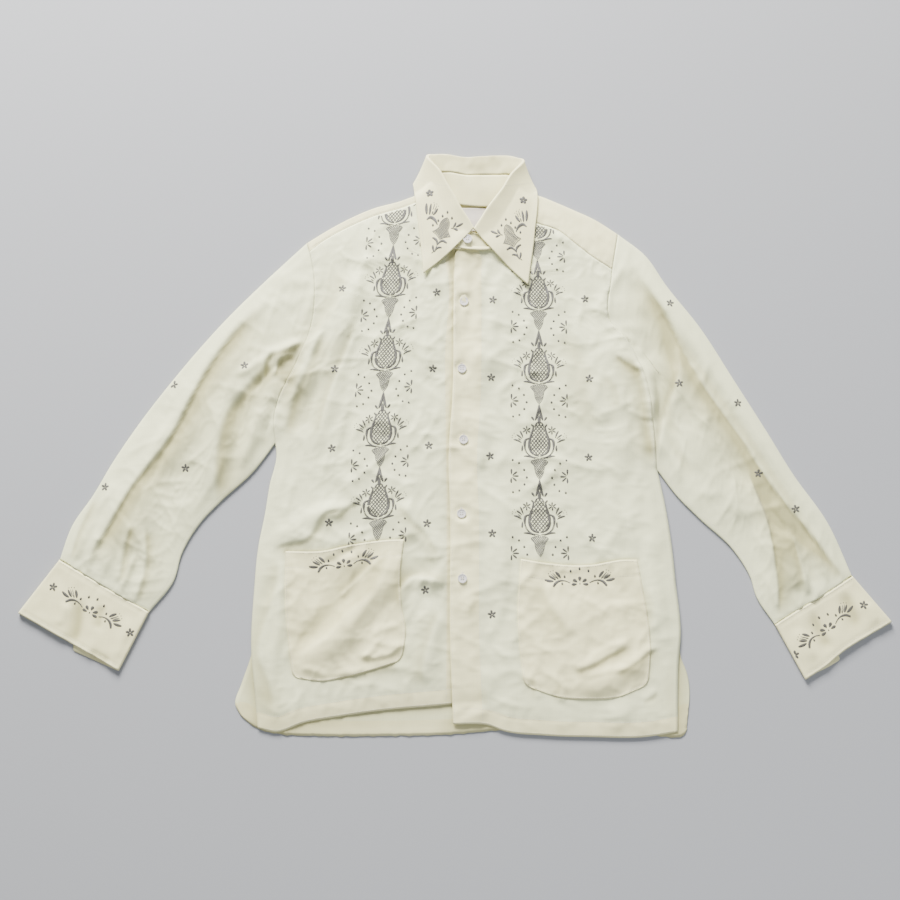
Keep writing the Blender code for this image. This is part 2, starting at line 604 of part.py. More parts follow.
def make_stand(below, finish):
    """The collar stand: a band round the neck, lapped at the centre front."""
    table = np.asarray(NECK, float)
    neck, seam = table[:, 0:2], table[:, 3:6]
    trees = shape_below(below)
    start, end = np.asarray(STAND_END_LEFT, float), np.asarray(STAND_END_RIGHT, float)
    heights_and_lean = table[:, (2, 5, 12)]
    rows = [np.concatenate([row, heights_and_lean[0]]) for row in start]
    rows += [np.concatenate([neck[i], seam[i][:2], heights_and_lean[i]]) for i in range(len(table))]
    rows += [np.concatenate([row, heights_and_lean[-1]]) for row in end]
    rows = curve(rows, shares(STAND_STATIONS), by="row")
    across = shares(STAND_ROWS)[:, None, None]
    lower = np.stack([rows[:, 0], rows[:, 1], rows[:, 4]], -1)
    upper = np.stack([rows[:, 2], rows[:, 3], rows[:, 5]], -1)
    # Where the collar stands on edge beside the seam, its thickness comes towards the stand.
    gap = COLLAR_SEAM_GAP + DOUBLE_CLOTH * np.cos(np.radians(rows[:, 6]))
    short = 1 - (gap / np.linalg.norm(upper - lower, axis=1))[:, None]
    points = lower[None] + (upper - lower)[None] * short[None] * across
    below_it = highest_below(trees, points[..., 0], points[..., 1], STAND_REST_REACH)
    lowest = np.where(below_it > 0, below_it + REST_GAP + STAND_CLOTH, 0)
    points[..., 2] = np.maximum(points[..., 2], lowest)
    # The right end crosses over the left one.
    count = points.shape[1]
    crossing = smooth_step((np.arange(count) / count - CROSSING_START) / CROSSING_LENGTH)
    points[..., 2] += (STAND_CLOTH + 2 * REST_GAP) * crossing
    return add_sheet("collar_stand", points, grid_faces(*points.shape[:2]), STAND_CLOTH, finish, even=False)


def make_collar(below, finish):
    """The collar: from its seam on the stand, over the roll, and down to its free edge."""
    table = curve(NECK, shares(COLLAR_STATIONS), by="row")
    seam, roll, edge = table[:, 3:6].copy(), table[:, 6:9], table[:, 9:12]
    lean, radius = np.radians(table[:, 12])[:, None], table[:, 13][:, None]
    to_seam = seam - roll
    to_edge = edge - roll
    to_seam[:, 2] = 0
    to_edge[:, 2] = 0
    to_seam /= np.linalg.norm(to_seam, axis=1)[:, None]
    to_edge /= np.linalg.norm(to_edge, axis=1)[:, None]
    away = -(to_seam * COLLAR_SEAM_WEIGHT + to_edge)
    away /= np.linalg.norm(away, axis=1)[:, None]
    side = np.stack([-away[:, 1], away[:, 0], np.zeros(len(away))], -1)
    side *= np.sign((side * to_edge).sum(1) + (side * roll_side(len(away))).sum(1) * 1e-6)[:, None]
    up = np.array([0.0, 0.0, 1.0])
    swing = np.cos(lean) * side + np.sin(lean) * up
    middle = roll - away * radius
    angles = np.radians(ROLL_ANGLES)
    turn = [middle + radius * (math.cos(a) * away + math.sin(a) * swing) for a in angles]
    fall = []
    for share in shares(COLLAR_FALL_ROWS)[1:]:
        point = turn[-1] + (edge - turn[-1]) * share
        hang = (1 - share) ** 2
        point[:, 2] = edge[:, 2] + (turn[-1][:, 2] - edge[:, 2]) * hang
        fall.append(point)
    band = [seam, (seam + turn[0]) / 2]
    points = np.stack([*band, *turn, *fall])
    # The fall rests on the pieces below where it leans over its seam.
    on_top = lean[:, 0] > LEAST_LEAN
    below_it = highest_below(shape_below(below), points[..., 0], points[..., 1], COLLAR_REST_REACH)
    lowest = np.where(below_it > 0, below_it + LEAF_REST_GAP + DOUBLE_CLOTH, 0)
    is_fall = np.arange(len(points))[:, None] >= len(band) + len(turn) // 2 + 1
    raise_it = is_fall & on_top[None, :]
    points[..., 2] = np.where(raise_it, np.maximum(points[..., 2], lowest), np.maximum(points[..., 2], 0))
    return add_sheet("collar", points, grid_faces(*points.shape[:2]), DOUBLE_CLOTH, finish, even=False)


def roll_side(count):
    """Outwards in plan along the collar: to the left on its left half and to the right on its right half."""
    x = np.where(np.arange(count) < count / 2, -1.0, 1.0)
    return np.stack([x, np.zeros(count), np.zeros(count)], -1)


def make_pocket(name, edges, below, finish):
    rows, columns = (shares(n) for n in POCKET_GRID)
    plan = patch(
        curve(edges["top"], columns),
        curve(edges["bottom"], columns),
        curve(edges["left"], rows),
        curve(edges["right"], rows),
    )
    for corner, inward in (((-1, 0), (-2, 1)), ((-1, -1), (-2, -2))):
        plan[corner] += POCKET_CORNER * (plan[inward] - plan[corner])
    lift = highest_below(shape_below([below]), plan[..., 0], plan[..., 1], POCKET_REST_REACH)
    points = with_height(plan, lift + REST_GAP + POCKET_CLOTH)
    return add_sheet(name, points, grid_faces(*plan.shape[:2]), POCKET_CLOTH, finish, flip=True)


def make_label(below, finish):
    across = np.linspace(-0.5, 0.5, LABEL_CELLS + 1)
    y, x = np.meshgrid(across * LABEL_SIZE[1], across * LABEL_SIZE[0], indexing="ij")
    x, y = x + LABEL_MIDDLE[0], y + LABEL_MIDDLE[1]
    points = np.stack([x, y, np.full_like(x, CLOTH + SEAM_GAP + LABEL_CLOTH)], -1)
    return add_sheet("label", points, grid_faces(*x.shape), LABEL_CLOTH, finish)


def ring_of(radius, sides, middle=(0.0, 0.0)):
    angle = np.arange(sides) * 2 * math.pi / sides
    return np.stack([middle[0] + radius * np.cos(angle), middle[1] + radius * np.sin(angle)], -1)


def disc(name, radius, low, high, sides, middle=(0.0, 0.0)):
    """A closed upright cylinder, in millimetres."""
    rim = ring_of(radius, sides, middle)
    points = np.concatenate([with_height(rim, np.full(sides, low)), with_height(rim, np.full(sides, high))])
    around = np.arange(sides)
    nxt = (around + 1) % sides
    faces = np.stack([around, nxt, nxt + sides, around + sides], -1).tolist()
    faces += [around[::-1].tolist(), (around + sides).tolist()]
    mesh = bpy.data.meshes.new(name)
    mesh.from_pydata((points * MM).tolist(), [], faces)
    return mesh


def button_mesh(finish):
    """A round button with a rim, a dished face and four holes, standing on its own underside."""
    mesh = disc("button", BUTTON_RADIUS, 0, BUTTON_THICKNESS, BUTTON_SIDES)
    mesh.materials.append(finish)
    obj = bpy.data.objects.new("button_blank", mesh)
    bpy.context.scene.collection.objects.link(obj)
    over = BUTTON_THICKNESS + CUTTER_OVERHANG
    cutters = [disc("dish", BUTTON_RADIUS - BUTTON_RIM, BUTTON_THICKNESS - BUTTON_DISH, over, BUTTON_SIDES)]
    half = BUTTON_HOLE_SPACING / 2
    for x in (-half, half):
        for y in (-half, half):
            cutters.append(disc("hole", BUTTON_HOLE_RADIUS, -CUTTER_OVERHANG, over, HOLE_SIDES, (x, y)))
    helpers = []
    for cutter in cutters:
        helper = bpy.data.objects.new("cutter", cutter)
        bpy.context.scene.collection.objects.link(helper)
        helpers.append(helper)
        cut = obj.modifiers.new("Cut", "BOOLEAN")
        cut.operation = "DIFFERENCE"
        cut.object = helper
    bpy.context.view_layer.update()
    evaluated = obj.evaluated_get(bpy.context.evaluated_depsgraph_get())
    finished = bpy.data.meshes.new_from_object(evaluated)
    for helper in (*helpers, obj):
        bpy.data.objects.remove(helper, do_unlink=True)
    finished.shade_smooth()
    finished.set_sharp_from_angle(angle=BUTTON_SHARP_ANGLE)
    return finished


def make_buttons(below, finish):
    mesh = button_mesh(finish)
    trees = shape_below(below)
    for number, (x, y) in enumerate(BUTTONS, start=1):
        rim = ring_of(BUTTON_RADIUS, BUTTON_REST_POINTS, (x, y))
        rest = max(
            highest_below(trees, rim[:, 0], rim[:, 1], BUTTON_REST_REACH).max(),
            highest_below(trees, np.array([x], float), np.array([y], float), BUTTON_RADIUS / 2).max(),
        )
        obj = bpy.data.objects.new(f"button_{number}", mesh)
        place = (x + ORIGIN_SHIFT[0], y + ORIGIN_SHIFT[1], rest + SEAM_GAP)
        obj.location = Vector(place) * MM
        bpy.context.scene.collection.objects.link(obj)


def main():
    clear_scene()
    finishes = {name: material(name, colour, roughness) for name, colour, roughness in FINISHES}
    single, double = finishes["single cloth"], finishes["double cloth"]
    shell, tape = finishes["button shell"], finishes["label tape"]
    make_back(single)
    yoke = make_yoke(single)
    front_left, front_right = make_fronts(single)
    make_sleeve(
        "sleeve_left", ARMHOLE_LEFT, CUFF_SEAM_LEFT, SHOULDER_TO_CUFF_LEFT, UNDERARM_TO_CUFF_LEFT, single, True
    )
    make_sleeve(
        "sleeve_right", ARMHOLE_RIGHT, CUFF_SEAM_RIGHT, SHOULDER_TO_CUFF_RIGHT, UNDERARM_TO_CUFF_RIGHT, single, False
    )
    make_cuff("cuff_left", CUFF_SEAM_LEFT, CUFF_HEM_LEFT, double, True)
    make_cuff("cuff_right", CUFF_SEAM_RIGHT, CUFF_HEM_RIGHT, double, False)
    stand = make_stand([yoke, front_left, front_right], double)
    make_collar([yoke, front_left, front_right, stand], double)
    make_pocket("pocket_left", POCKET_LEFT, front_left, double)
    make_pocket("pocket_right", POCKET_RIGHT, front_right, double)
    make_label(yoke, tape)
    make_buttons([front_left, front_right, stand], shell)


main()
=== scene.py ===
"""Dresses the laid-out embroidered shirt: thin cloth with folds, embroidery, sewing, buttons, a studio.

The plan is X to the viewer's right and Y from the hem towards the collar, and Z is the height over the floor.
Left and right are the viewer's. Shapes are worked out in millimetres and go into their meshes in metres.
"""

import math
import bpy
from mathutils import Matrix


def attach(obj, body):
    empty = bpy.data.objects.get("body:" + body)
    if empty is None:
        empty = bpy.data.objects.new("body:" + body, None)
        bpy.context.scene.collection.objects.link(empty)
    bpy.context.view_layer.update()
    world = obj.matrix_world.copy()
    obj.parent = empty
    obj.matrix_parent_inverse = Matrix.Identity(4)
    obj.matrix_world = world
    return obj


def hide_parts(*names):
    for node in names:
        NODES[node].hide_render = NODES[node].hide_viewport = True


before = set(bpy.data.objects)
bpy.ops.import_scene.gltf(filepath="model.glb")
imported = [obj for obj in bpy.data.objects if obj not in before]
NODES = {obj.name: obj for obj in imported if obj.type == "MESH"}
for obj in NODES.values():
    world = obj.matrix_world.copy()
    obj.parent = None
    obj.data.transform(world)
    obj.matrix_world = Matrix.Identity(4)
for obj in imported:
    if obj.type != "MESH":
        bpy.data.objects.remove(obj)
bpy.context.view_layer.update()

from types import SimpleNamespace

import bpy
import numpy as np
from bpy.props import FloatProperty, FloatVectorProperty, PointerProperty
from mathutils import Vector

bl_info = {
    "name": "Embroidered shirt",
    "version": (1, 0, 0),
    "blender": (4, 5, 0),
    "location": "View3D > Sidebar > Shirt",
    "description": "Builds the cloth, embroidery and sewing of a laid-out shirt on its frame",
    "category": "Object",
}

MM = 0.001
ORIGIN_SHIFT = (0.0, 0.37)

# Gaps and heights of the laid cloth, in mm
SEAM_GAP = 0.15
ARMHOLE_GAP = 0.06
YOKE_SEAM_GAP = 0.06
COLLAR_SEAM_GAP = 0.3
REST_GAP = 0.35
EDGE_HEIGHT = 2.7
FULL_HEIGHT = 6.0
RISE_LENGTH = 24.0
CUFF_HEIGHT = 4.7
LAP_LIFT = 2.2
LAP_END = 44.0
LAP_SOFT = 16.0
FOLD_FADE = 0.28
SEAM_REACH = 40

# Widths of the doubled cloth, in mm
BAND_WIDTH = 38.0
HEM_WIDTH = 19.0
BAND_TOP = 236
POCKET_HEM_WIDTH = 21.0

# Each side of the shirt, in mm. All rows are X, Y, but for the fold, the cuff's lower layer and its dents.
# way: the X direction from the front's edge into its panel; pocket: its top, bottom, left and right edge;
# fold: the yoke's over the shoulder, as X, Y of the fold and Y of the seam to the front;
# stand_end: X, Y of the neck's seam and X, Y of the collar's seam, beyond the neck's table;
# under_cuff: how far the lower layer shows past the hem, as the share of the hem's length and the length;
# dents: of the cuff, in the columns of the folds; band: the middles of the pineapples, from the top;
# tilt: how much a band's repeats rise across it
LEFT = SimpleNamespace(
    name="left",
    way=-1,
    shoulder_to_cuff=(
        (-203, 263), (-259, 208), (-305, 160), (-380, 68), (-420, 12), (-453, -41), (-476, -84),
        (-502, -126), (-515, -169),
    ),
    underarm_to_cuff=(
        (-238, -15), (-266, -53), (-311, -96), (-332, -119), (-356, -161), (-365, -196), (-395, -236),
    ),
    armhole=((-203, 263), (-196, 240), (-198, 131), (-206, 110), (-241, 8), (-238, -15)),
    cuff_seam=((-515, -169), (-482, -188), (-440, -212), (-395, -236)),
    cuff_hem=((-564, -237), (-518, -262), (-470, -288), (-430, -310)),
    side=(
        (-238, -15), (-236, -29), (-244, -72), (-249, -110), (-256, -150), (-260, -209), (-261, -288),
        (-256, -330), (-250, -381),
    ),
    hem=((-250, -381), (-227, -386), (-193, -375), (-147, -367), (-88, -359), (-29, -354), (27, -349)),
    centre=(
        (-52, 321), (-47, 300), (-36, 280), (-14, 263), (18, 254), (24, 238), (25, 100), (27, -100),
        (27, -349),
    ),
    back_side=(
        (-238, -15), (-236, -29), (-244, -72), (-249, -110), (-256, -150), (-260, -209), (-261, -288),
        (-273, -327), (-280, -352), (-271, -368),
    ),
    pocket=(
        ((-220, -158), (-173, -158), (-134, -150), (-75, -143), (-66, -143)),
        ((-207, -320), (-173, -324), (-142, -319), (-100, -308), (-68, -298)),
        ((-220, -158), (-218, -230), (-207, -320)),
        ((-66, -143), (-70, -190), (-68, -230), (-63, -256), (-68, -298)),
    ),
    fold=((-203, 263, 250), (-162, 289, 277), (-110, 314, 302), (-75, 324, 313), (-52, 333, 321)),
    stand_end=((34, 251, 33, 274), (18, 251, 24, 276)),
    under_cuff=((0, 0), (0.56, 0), (0.57, 7.5), (1, 1.2)),
    dents=(
        (-486, -216, -492, -282, 4, 7, 12, -1.5),
        (-500, -222, -512, -256, 2, 6, 8, 1.0),
        (-452, -226, -458, -262, -3, 5, 8, -1.0),
        (-418, -240, -440, -300, 3, 6, 8, 0.9),
        (-470, -286, -440, -300, 0, 6, 6, -0.8),
    ),
    band=((-77, 397), (-82, 291.6), (-87, 188), (-93, 86), (-98, -17), (-100, -113), (-103, -216)),
    tilt=0.12,
)
RIGHT = SimpleNamespace(
    name="right",
    way=1,
    shoulder_to_cuff=(
        (225, 276), (262, 245), (289, 203), (333, 143), (374, 73), (415, 2), (448, -57), (489, -120),
        (517, -190),
    ),
    underarm_to_cuff=(
        (268, -51), (295, -88), (320, -114), (365, -158), (385, -193), (391, -216), (413, -252),
    ),
    armhole=((225, 276), (214, 213), (210, 154), (236, 120), (255, 72), (264, 17), (268, -51)),
    cuff_seam=((517, -190), (482, -212), (446, -232), (413, -252)),
    cuff_hem=((564, -248), (541, -261), (501, -284), (471, -307), (448, -321)),
    side=((268, -51), (274, -81), (283, -145), (287, -198), (291, -265), (287, -300), (283, -386)),
    hem=((-2, -376), (44, -378), (60, -384), (113, -390), (173, -392), (240, -392), (283, -386)),
    centre=(
        (104, 292), (92, 272), (70, 259), (40, 253), (2, 250), (0, 236), (-1, 183), (-3, 44), (-8, -33),
        (-6, -109), (-6, -272), (-2, -376),
    ),
    back_side=(
        (268, -51), (274, -81), (283, -145), (287, -198), (291, -265), (290, -290), (298, -314),
        (300, -328), (296, -370),
    ),
    pocket=(
        ((86, -168), (115, -173), (175, -176), (220, -169), (237, -169)),
        ((88, -330), (128, -343), (174, -346), (208, -344), (246, -330)),
        ((86, -168), (81, -237), (88, -330)),
        ((237, -169), (244, -211), (251, -283), (246, -330)),
    ),
    fold=(
        (104, 336, 292), (120, 331, 288), (141, 322, 281), (165, 311, 263), (192, 298, 243),
        (225, 276, 224),
    ),
    stand_end=((24, 250, 26, 276), (2, 254, 13, 280)),
    under_cuff=((0, 0), (0.6, 0), (0.62, 6.5), (0.9, 0.3), (1, 0)),
    dents=(
        (500, -206, 520, -262, 3, 7, 10, -1.2),
        (462, -232, 486, -286, -4, 6, 9, -1.1),
        (530, -222, 544, -252, 2, 6, 8, 0.9),
        (436, -254, 462, -300, 3, 6, 8, 0.9),
    ),
    band=((115, 370), (113, 268), (114, 170), (113, 68), (112, -33), (111, -134), (111, -234)),
    tilt=0.0,
)
SIDES = (LEFT, RIGHT)

# The back's hem, the pockets' corner radius and the yoke. Columns: X, Y
BACK_HEM = (
    (-271, -368), (-248, -383), (-227, -388), (-172, -391), (-87, -391), (-3, -389), (60, -384), (150, -387),
    (240, -389), (294, -386), (296, -370),
)
POCKET_CORNER = 11.0
YOKE_BACK_SEAM = 225
YOKE_NECK = (
    (-52, 330), (-40, 328), (-20, 324), (0, 321), (26, 318), (51, 317), (75, 320), (92, 326), (104, 333),
)

# The neck, from the left front end round the back to the right front end.
# Columns: neck seam X, Y, Z; collar seam X, Y, Z; roll X, Y, Z; free edge X, Y, Z; lean of the fall in
# degrees; and radius of the roll. Heights are those of the outer side.
NECK = (
    (2, 252, 8.0, 14, 276, 8.0, 27, 280, 14.5, -42, 217, 6.0, 90, 3.6),
    (-14, 259, 8.0, 6, 289, 8.5, 20, 293, 15.0, -44, 240, 6.0, 90, 4.0),
    (-30, 273, 7.5, -4, 304, 9.0, 9, 310, 15.5, -47, 266, 6.0, 90, 4.4),
    (-40, 290, 7.0, -13, 320, 9.0, 1, 326, 15.5, -50, 292, 6.0, 88, 4.6),
    (-46, 306, 6.5, -20, 336, 8.5, -9, 344, 15.0, -53, 317, 6.0, 82, 4.6),
    (-48, 322, 6.0, -23, 352, 7.0, -20, 365, 13.5, -56, 340, 5.0, 62, 4.4),
    (-40, 327, 4.0, -20, 364, 5.0, -37, 387, 10.0, -56, 350, 3.2, 10, 4.2),
    (-26, 324, 3.2, -10, 366, 3.9, -27, 391, 6.0, -40, 345, 0.2, -60, 3.9),
    (-10, 321, 3.1, 2, 365, 3.6, -10, 392, 3.8, -14, 336, 0.0, -88, 3.8),
    (8, 318, 3.1, 16, 362, 3.6, 14, 388, 3.6, 10, 333, 0.0, -90, 3.6),
    (27, 316, 3.1, 31, 362, 3.6, 34, 389, 3.6, 30, 332, 0.0, -90, 3.6),
    (46, 315, 3.1, 48, 362, 3.6, 56, 390, 3.6, 52, 332, 0.0, -90, 3.6),
    (64, 316, 3.1, 62, 362, 3.6, 74, 390, 3.8, 78, 337, 0.0, -88, 3.8),
    (79, 319, 3.2, 73, 362, 3.9, 88, 386, 6.0, 98, 342, 0.2, -60, 3.9),
    (92, 323, 4.0, 80, 359, 5.0, 95, 380, 10.0, 111, 345, 3.2, 10, 4.2),
    (100, 314, 6.0, 81, 346, 7.0, 78, 360, 13.5, 115, 331, 5.0, 62, 4.4),
    (99, 300, 6.5, 77, 330, 8.5, 66, 339, 15.0, 114, 308, 6.0, 82, 4.6),
    (93, 284, 7.0, 69, 313, 9.0, 56, 325, 15.5, 111, 283, 6.0, 88, 4.6),
    (81, 267, 7.5, 58, 298, 9.0, 46, 311, 15.5, 108, 256, 6.0, 90, 4.4),
    (64, 257, 8.0, 46, 284, 8.5, 36, 295, 15.0, 104, 229, 6.0, 90, 4.0),
    (46, 250, 8.0, 36, 273, 8.0, 26, 279, 14.5, 100, 201, 6.0, 90, 3.6),
)

# Large folds and troughs.
# Columns: start X, Y; end X, Y; bow to the left of its run; half-width on the left and on the right; height
FOLDS = (
    # left sleeve
    (-250, 150, -492, -178, -2, 17, 12, 5.0),
    (-255, 128, -485, -182, -12, 10, 12, -3.2),
    (-309, 55, -321, -95, 6, 12, 16, 3.6),
    (-290, 58, -300, -80, 8, 9, 9, -2.6),
    (-236, 92, -300, -62, 12, 12, 12, 3.4),
    (-240, 60, -262, -45, 4, 9, 9, -2.4),
    (-395, 30, -475, -120, -8, 20, 20, 2.4),
    (-420, -170, -388, -70, 6, 16, 14, 2.8),
    (-455, -196, -428, -110, 4, 10, 10, 3.0),
    # right sleeve
    (236, 250, 512, -182, 6, 18, 9, 7.5),
    (226, 236, 500, -192, 4, 9, 8, -3.4),
    (262, 120, 352, -60, 14, 18, 18, 3.0),
    (300, 20, 390, -130, -6, 16, 14, 2.6),
    (278, 60, 320, -70, -8, 10, 10, -2.4),
    (438, -214, 418, -120, -6, 12, 14, 3.4),
    (474, -206, 446, -118, 6, 9, 9, -2.2),
    # folds at the underarms
    (-205, 122, -246, 92, -4, 9, 7, 4.0),
    (250, 100, 262, 12, 6, 8, 10, 4.0),
    (268, 88, 276, 6, 4, 8, 8, -2.4),
    # left front
    (-138, 225, -203, 40, 14, 15, 18, 3.8),
    (-156, 96, -188, -40, 6, 14, 16, 3.0),
    (-176, 120, -214, -10, 8, 11, 11, -2.6),
    (-246, -150, -130, -98, 8, 12, 14, 3.6),
    (-60, -88, -52, -150, -4, 10, 12, 2.6),
    (-76, -152, -204, -322, 14, 16, 20, 4.0),
    (-98, -150, -218, -290, 12, 12, 12, -2.4),
    (-226, -165, -240, -365, 6, 8, 10, 3.0),
    (-52, -193, -6, -195, 0, 6, 8, 2.2),
    (-48, 215, -40, 60, 6, 14, 14, 2.0),
    (-30, -230, -60, -340, 6, 14, 14, 2.2),
    # right front
    (60, 215, 46, 40, -6, 16, 18, 2.4),
    (196, 150, 222, -80, 10, 16, 18, 3.4),
    (150, 120, 168, -60, -8, 16, 16, 1.8),
    (64, -60, 40, -240, 8, 14, 16, 2.4),
    (150, -336, 252, -288, -6, 12, 14, 3.4),
    (122, -200, 196, -330, -10, 16, 18, 2.2),
    (40, -300, 34, -378, 0, 10, 10, 2.6),
    (258, -110, 270, -300, -6, 12, 10, 2.6),
)

# Small creases, in the same columns as the large folds
CREASES = (
    # left sleeve, shoulder to cuff
    (-222, 236, -300, 128, 4, 7, 9, 1.2),
    (-262, 186, -352, 66, -6, 6, 8, 1.0),
    (-330, 90, -418, -44, 5, 6, 7, 1.1),
    (-352, 20, -424, -120, -5, 5, 6, -1.1),
    (-300, -20, -352, -120, 6, 5, 6, 1.2),
    (-262, 40, -286, -58, 5, 5, 5, 1.3),
    (-440, -60, -492, -166, -4, 5, 6, 1.2),
    (-478, -186, -458, -130, 3, 5, 5, 1.6),
    (-430, -214, -412, -158, 3, 4, 5, 1.4),
    (-500, -176, -484, -132, -2, 4, 5, 1.1),
    (-410, -226, -396, -180, 2, 4, 4, 1.1),
    (-244, 108, -296, 74, 3, 5, 5, 1.4),
    (-236, 92, -270, 52, -3, 4, 5, -1.5),
    (-232, 40, -252, -12, 3, 5, 4, 1.2),
    # right sleeve
    (250, 236, 330, 132, 4, 6, 8, 1.0),
    (300, 170, 392, 18, -5, 5, 6, 1.0),
    (244, 176, 300, 62, 6, 7, 7, -1.4),
    (286, 92, 344, -10, -4, 5, 6, 1.2),
    (330, 20, 396, -96, 5, 5, 7, -1.2),
    (402, -60, 446, -150, -5, 8, 10, -2.2),
    (458, -218, 436, -160, -3, 4, 5, 1.6),
    (488, -200, 470, -146, 3, 4, 4, 1.4),
    (500, -194, 492, -150, 2, 4, 4, 1.0),
    (420, -236, 404, -184, 2, 4, 5, 1.2),
    (270, -10, 300, -76, 4, 5, 5, 1.4),
    (282, 10, 322, -52, -4, 5, 5, 1.0),
    # left front
    (-190, 210, -206, 150, 4, 5, 6, 1.2),
    (-172, 170, -200, 96, 5, 5, 6, 1.2),
    (-204, 92, -226, 30, 4, 5, 6, 1.3),
    (-120, 236, -146, 120, -5, 8, 8, 1.0),
    (-66, 240, -58, 130, 3, 5, 8, 1.0),
    (-44, 246, -18, 180, 4, 6, 7, 1.5),
    (-12, 232, 2, 120, -3, 5, 6, 1.4),
    (-26, 130, -12, 10, 3, 8, 8, 1.0),
    (-142, 60, -170, -62, 5, 6, 8, 1.1),
    (-124, -20, -132, -110, -5, 8, 8, 1.0),
    (-222, 0, -236, -92, 4, 5, 6, 1.2),
    (-206, -52, -224, -128, -3, 5, 6, 1.0),
    (-60, -60, -44, -134, -4, 5, 6, 1.1),
    (-118, -142, -176, -176, 4, 5, 6, -1.2),
    (-92, -184, -150, -268, 6, 5, 7, 1.2),
    (-110, -268, -66, -252, 4, 4, 5, 1.1),
    (-122, -300, -96, -278, 2, 3, 4, 1.0),
    (-200, -306, -160, -318, 3, 4, 4, 1.0),
    (-228, -200, -236, -320, 4, 4, 5, 1.2),
    (-246, -230, -250, -350, 3, 3, 4, 1.0),
    (-38, -214, -22, -330, 4, 7, 9, 1.5),
    (-50, -212, -34, -190, 4, 5, 5, 1.3),
    (-96, -328, -90, -358, 2, 4, 5, 1.1),
    (-128, -326, -134, -364, 2, 4, 5, 1.0),
    (-164, -330, -168, -368, 2, 4, 4, 0.9),
    (-64, -318, -58, -352, 2, 4, 4, 1.1),
    (-196, -328, -206, -372, 2, 4, 4, 1.0),
    # right front
    (14, 236, 10, 128, 3, 5, 7, 1.4),
    (34, 214, 38, 110, -3, 6, 7, 1.2),
    (60, 196, 74, 120, 4, 6, 7, 1.0),
    (196, 236, 206, 150, 4, 6, 7, 1.2),
    (216, 150, 240, 60, 5, 5, 6, 1.2),
    (184, 110, 206, 0, -5, 7, 8, 1.0),
    (232, 60, 250, -60, 4, 6, 6, 1.3),
    (244, -30, 262, -140, 4, 5, 6, 1.1),
    (206, -60, 220, -160, -4, 8, 8, 1.1),
    (36, 40, 30, -60, 3, 8, 8, 0.9),
    (20, -100, 18, -180, -3, 5, 6, 1.0),
    (64, -140, 56, -260, 4, 7, 8, 1.2),
    (20, -200, 30, -320, -5, 5, 7, 1.2),
    (150, -206, 164, -300, 5, 8, 9, 1.0),
    (118, -240, 140, -330, 4, 5, 7, 1.0),
    (214, -210, 230, -318, -4, 6, 8, 1.1),
    (160, -318, 236, -306, 3, 4, 5, 1.2),
    (104, -306, 150, -336, 2, 4, 4, 1.0),
    (262, -190, 272, -290, 3, 4, 5, 1.2),
    (200, -352, 208, -388, 1, 4, 4, 0.9),
    (128, -350, 132, -388, 1, 4, 4, 1.0),
    (70, -344, 66, -382, 1, 4, 5, 1.0),
    (246, -344, 254, -386, 1, 4, 4, 1.0),
    (30, -330, 22, -374, 1, 4, 5, 1.0),
)

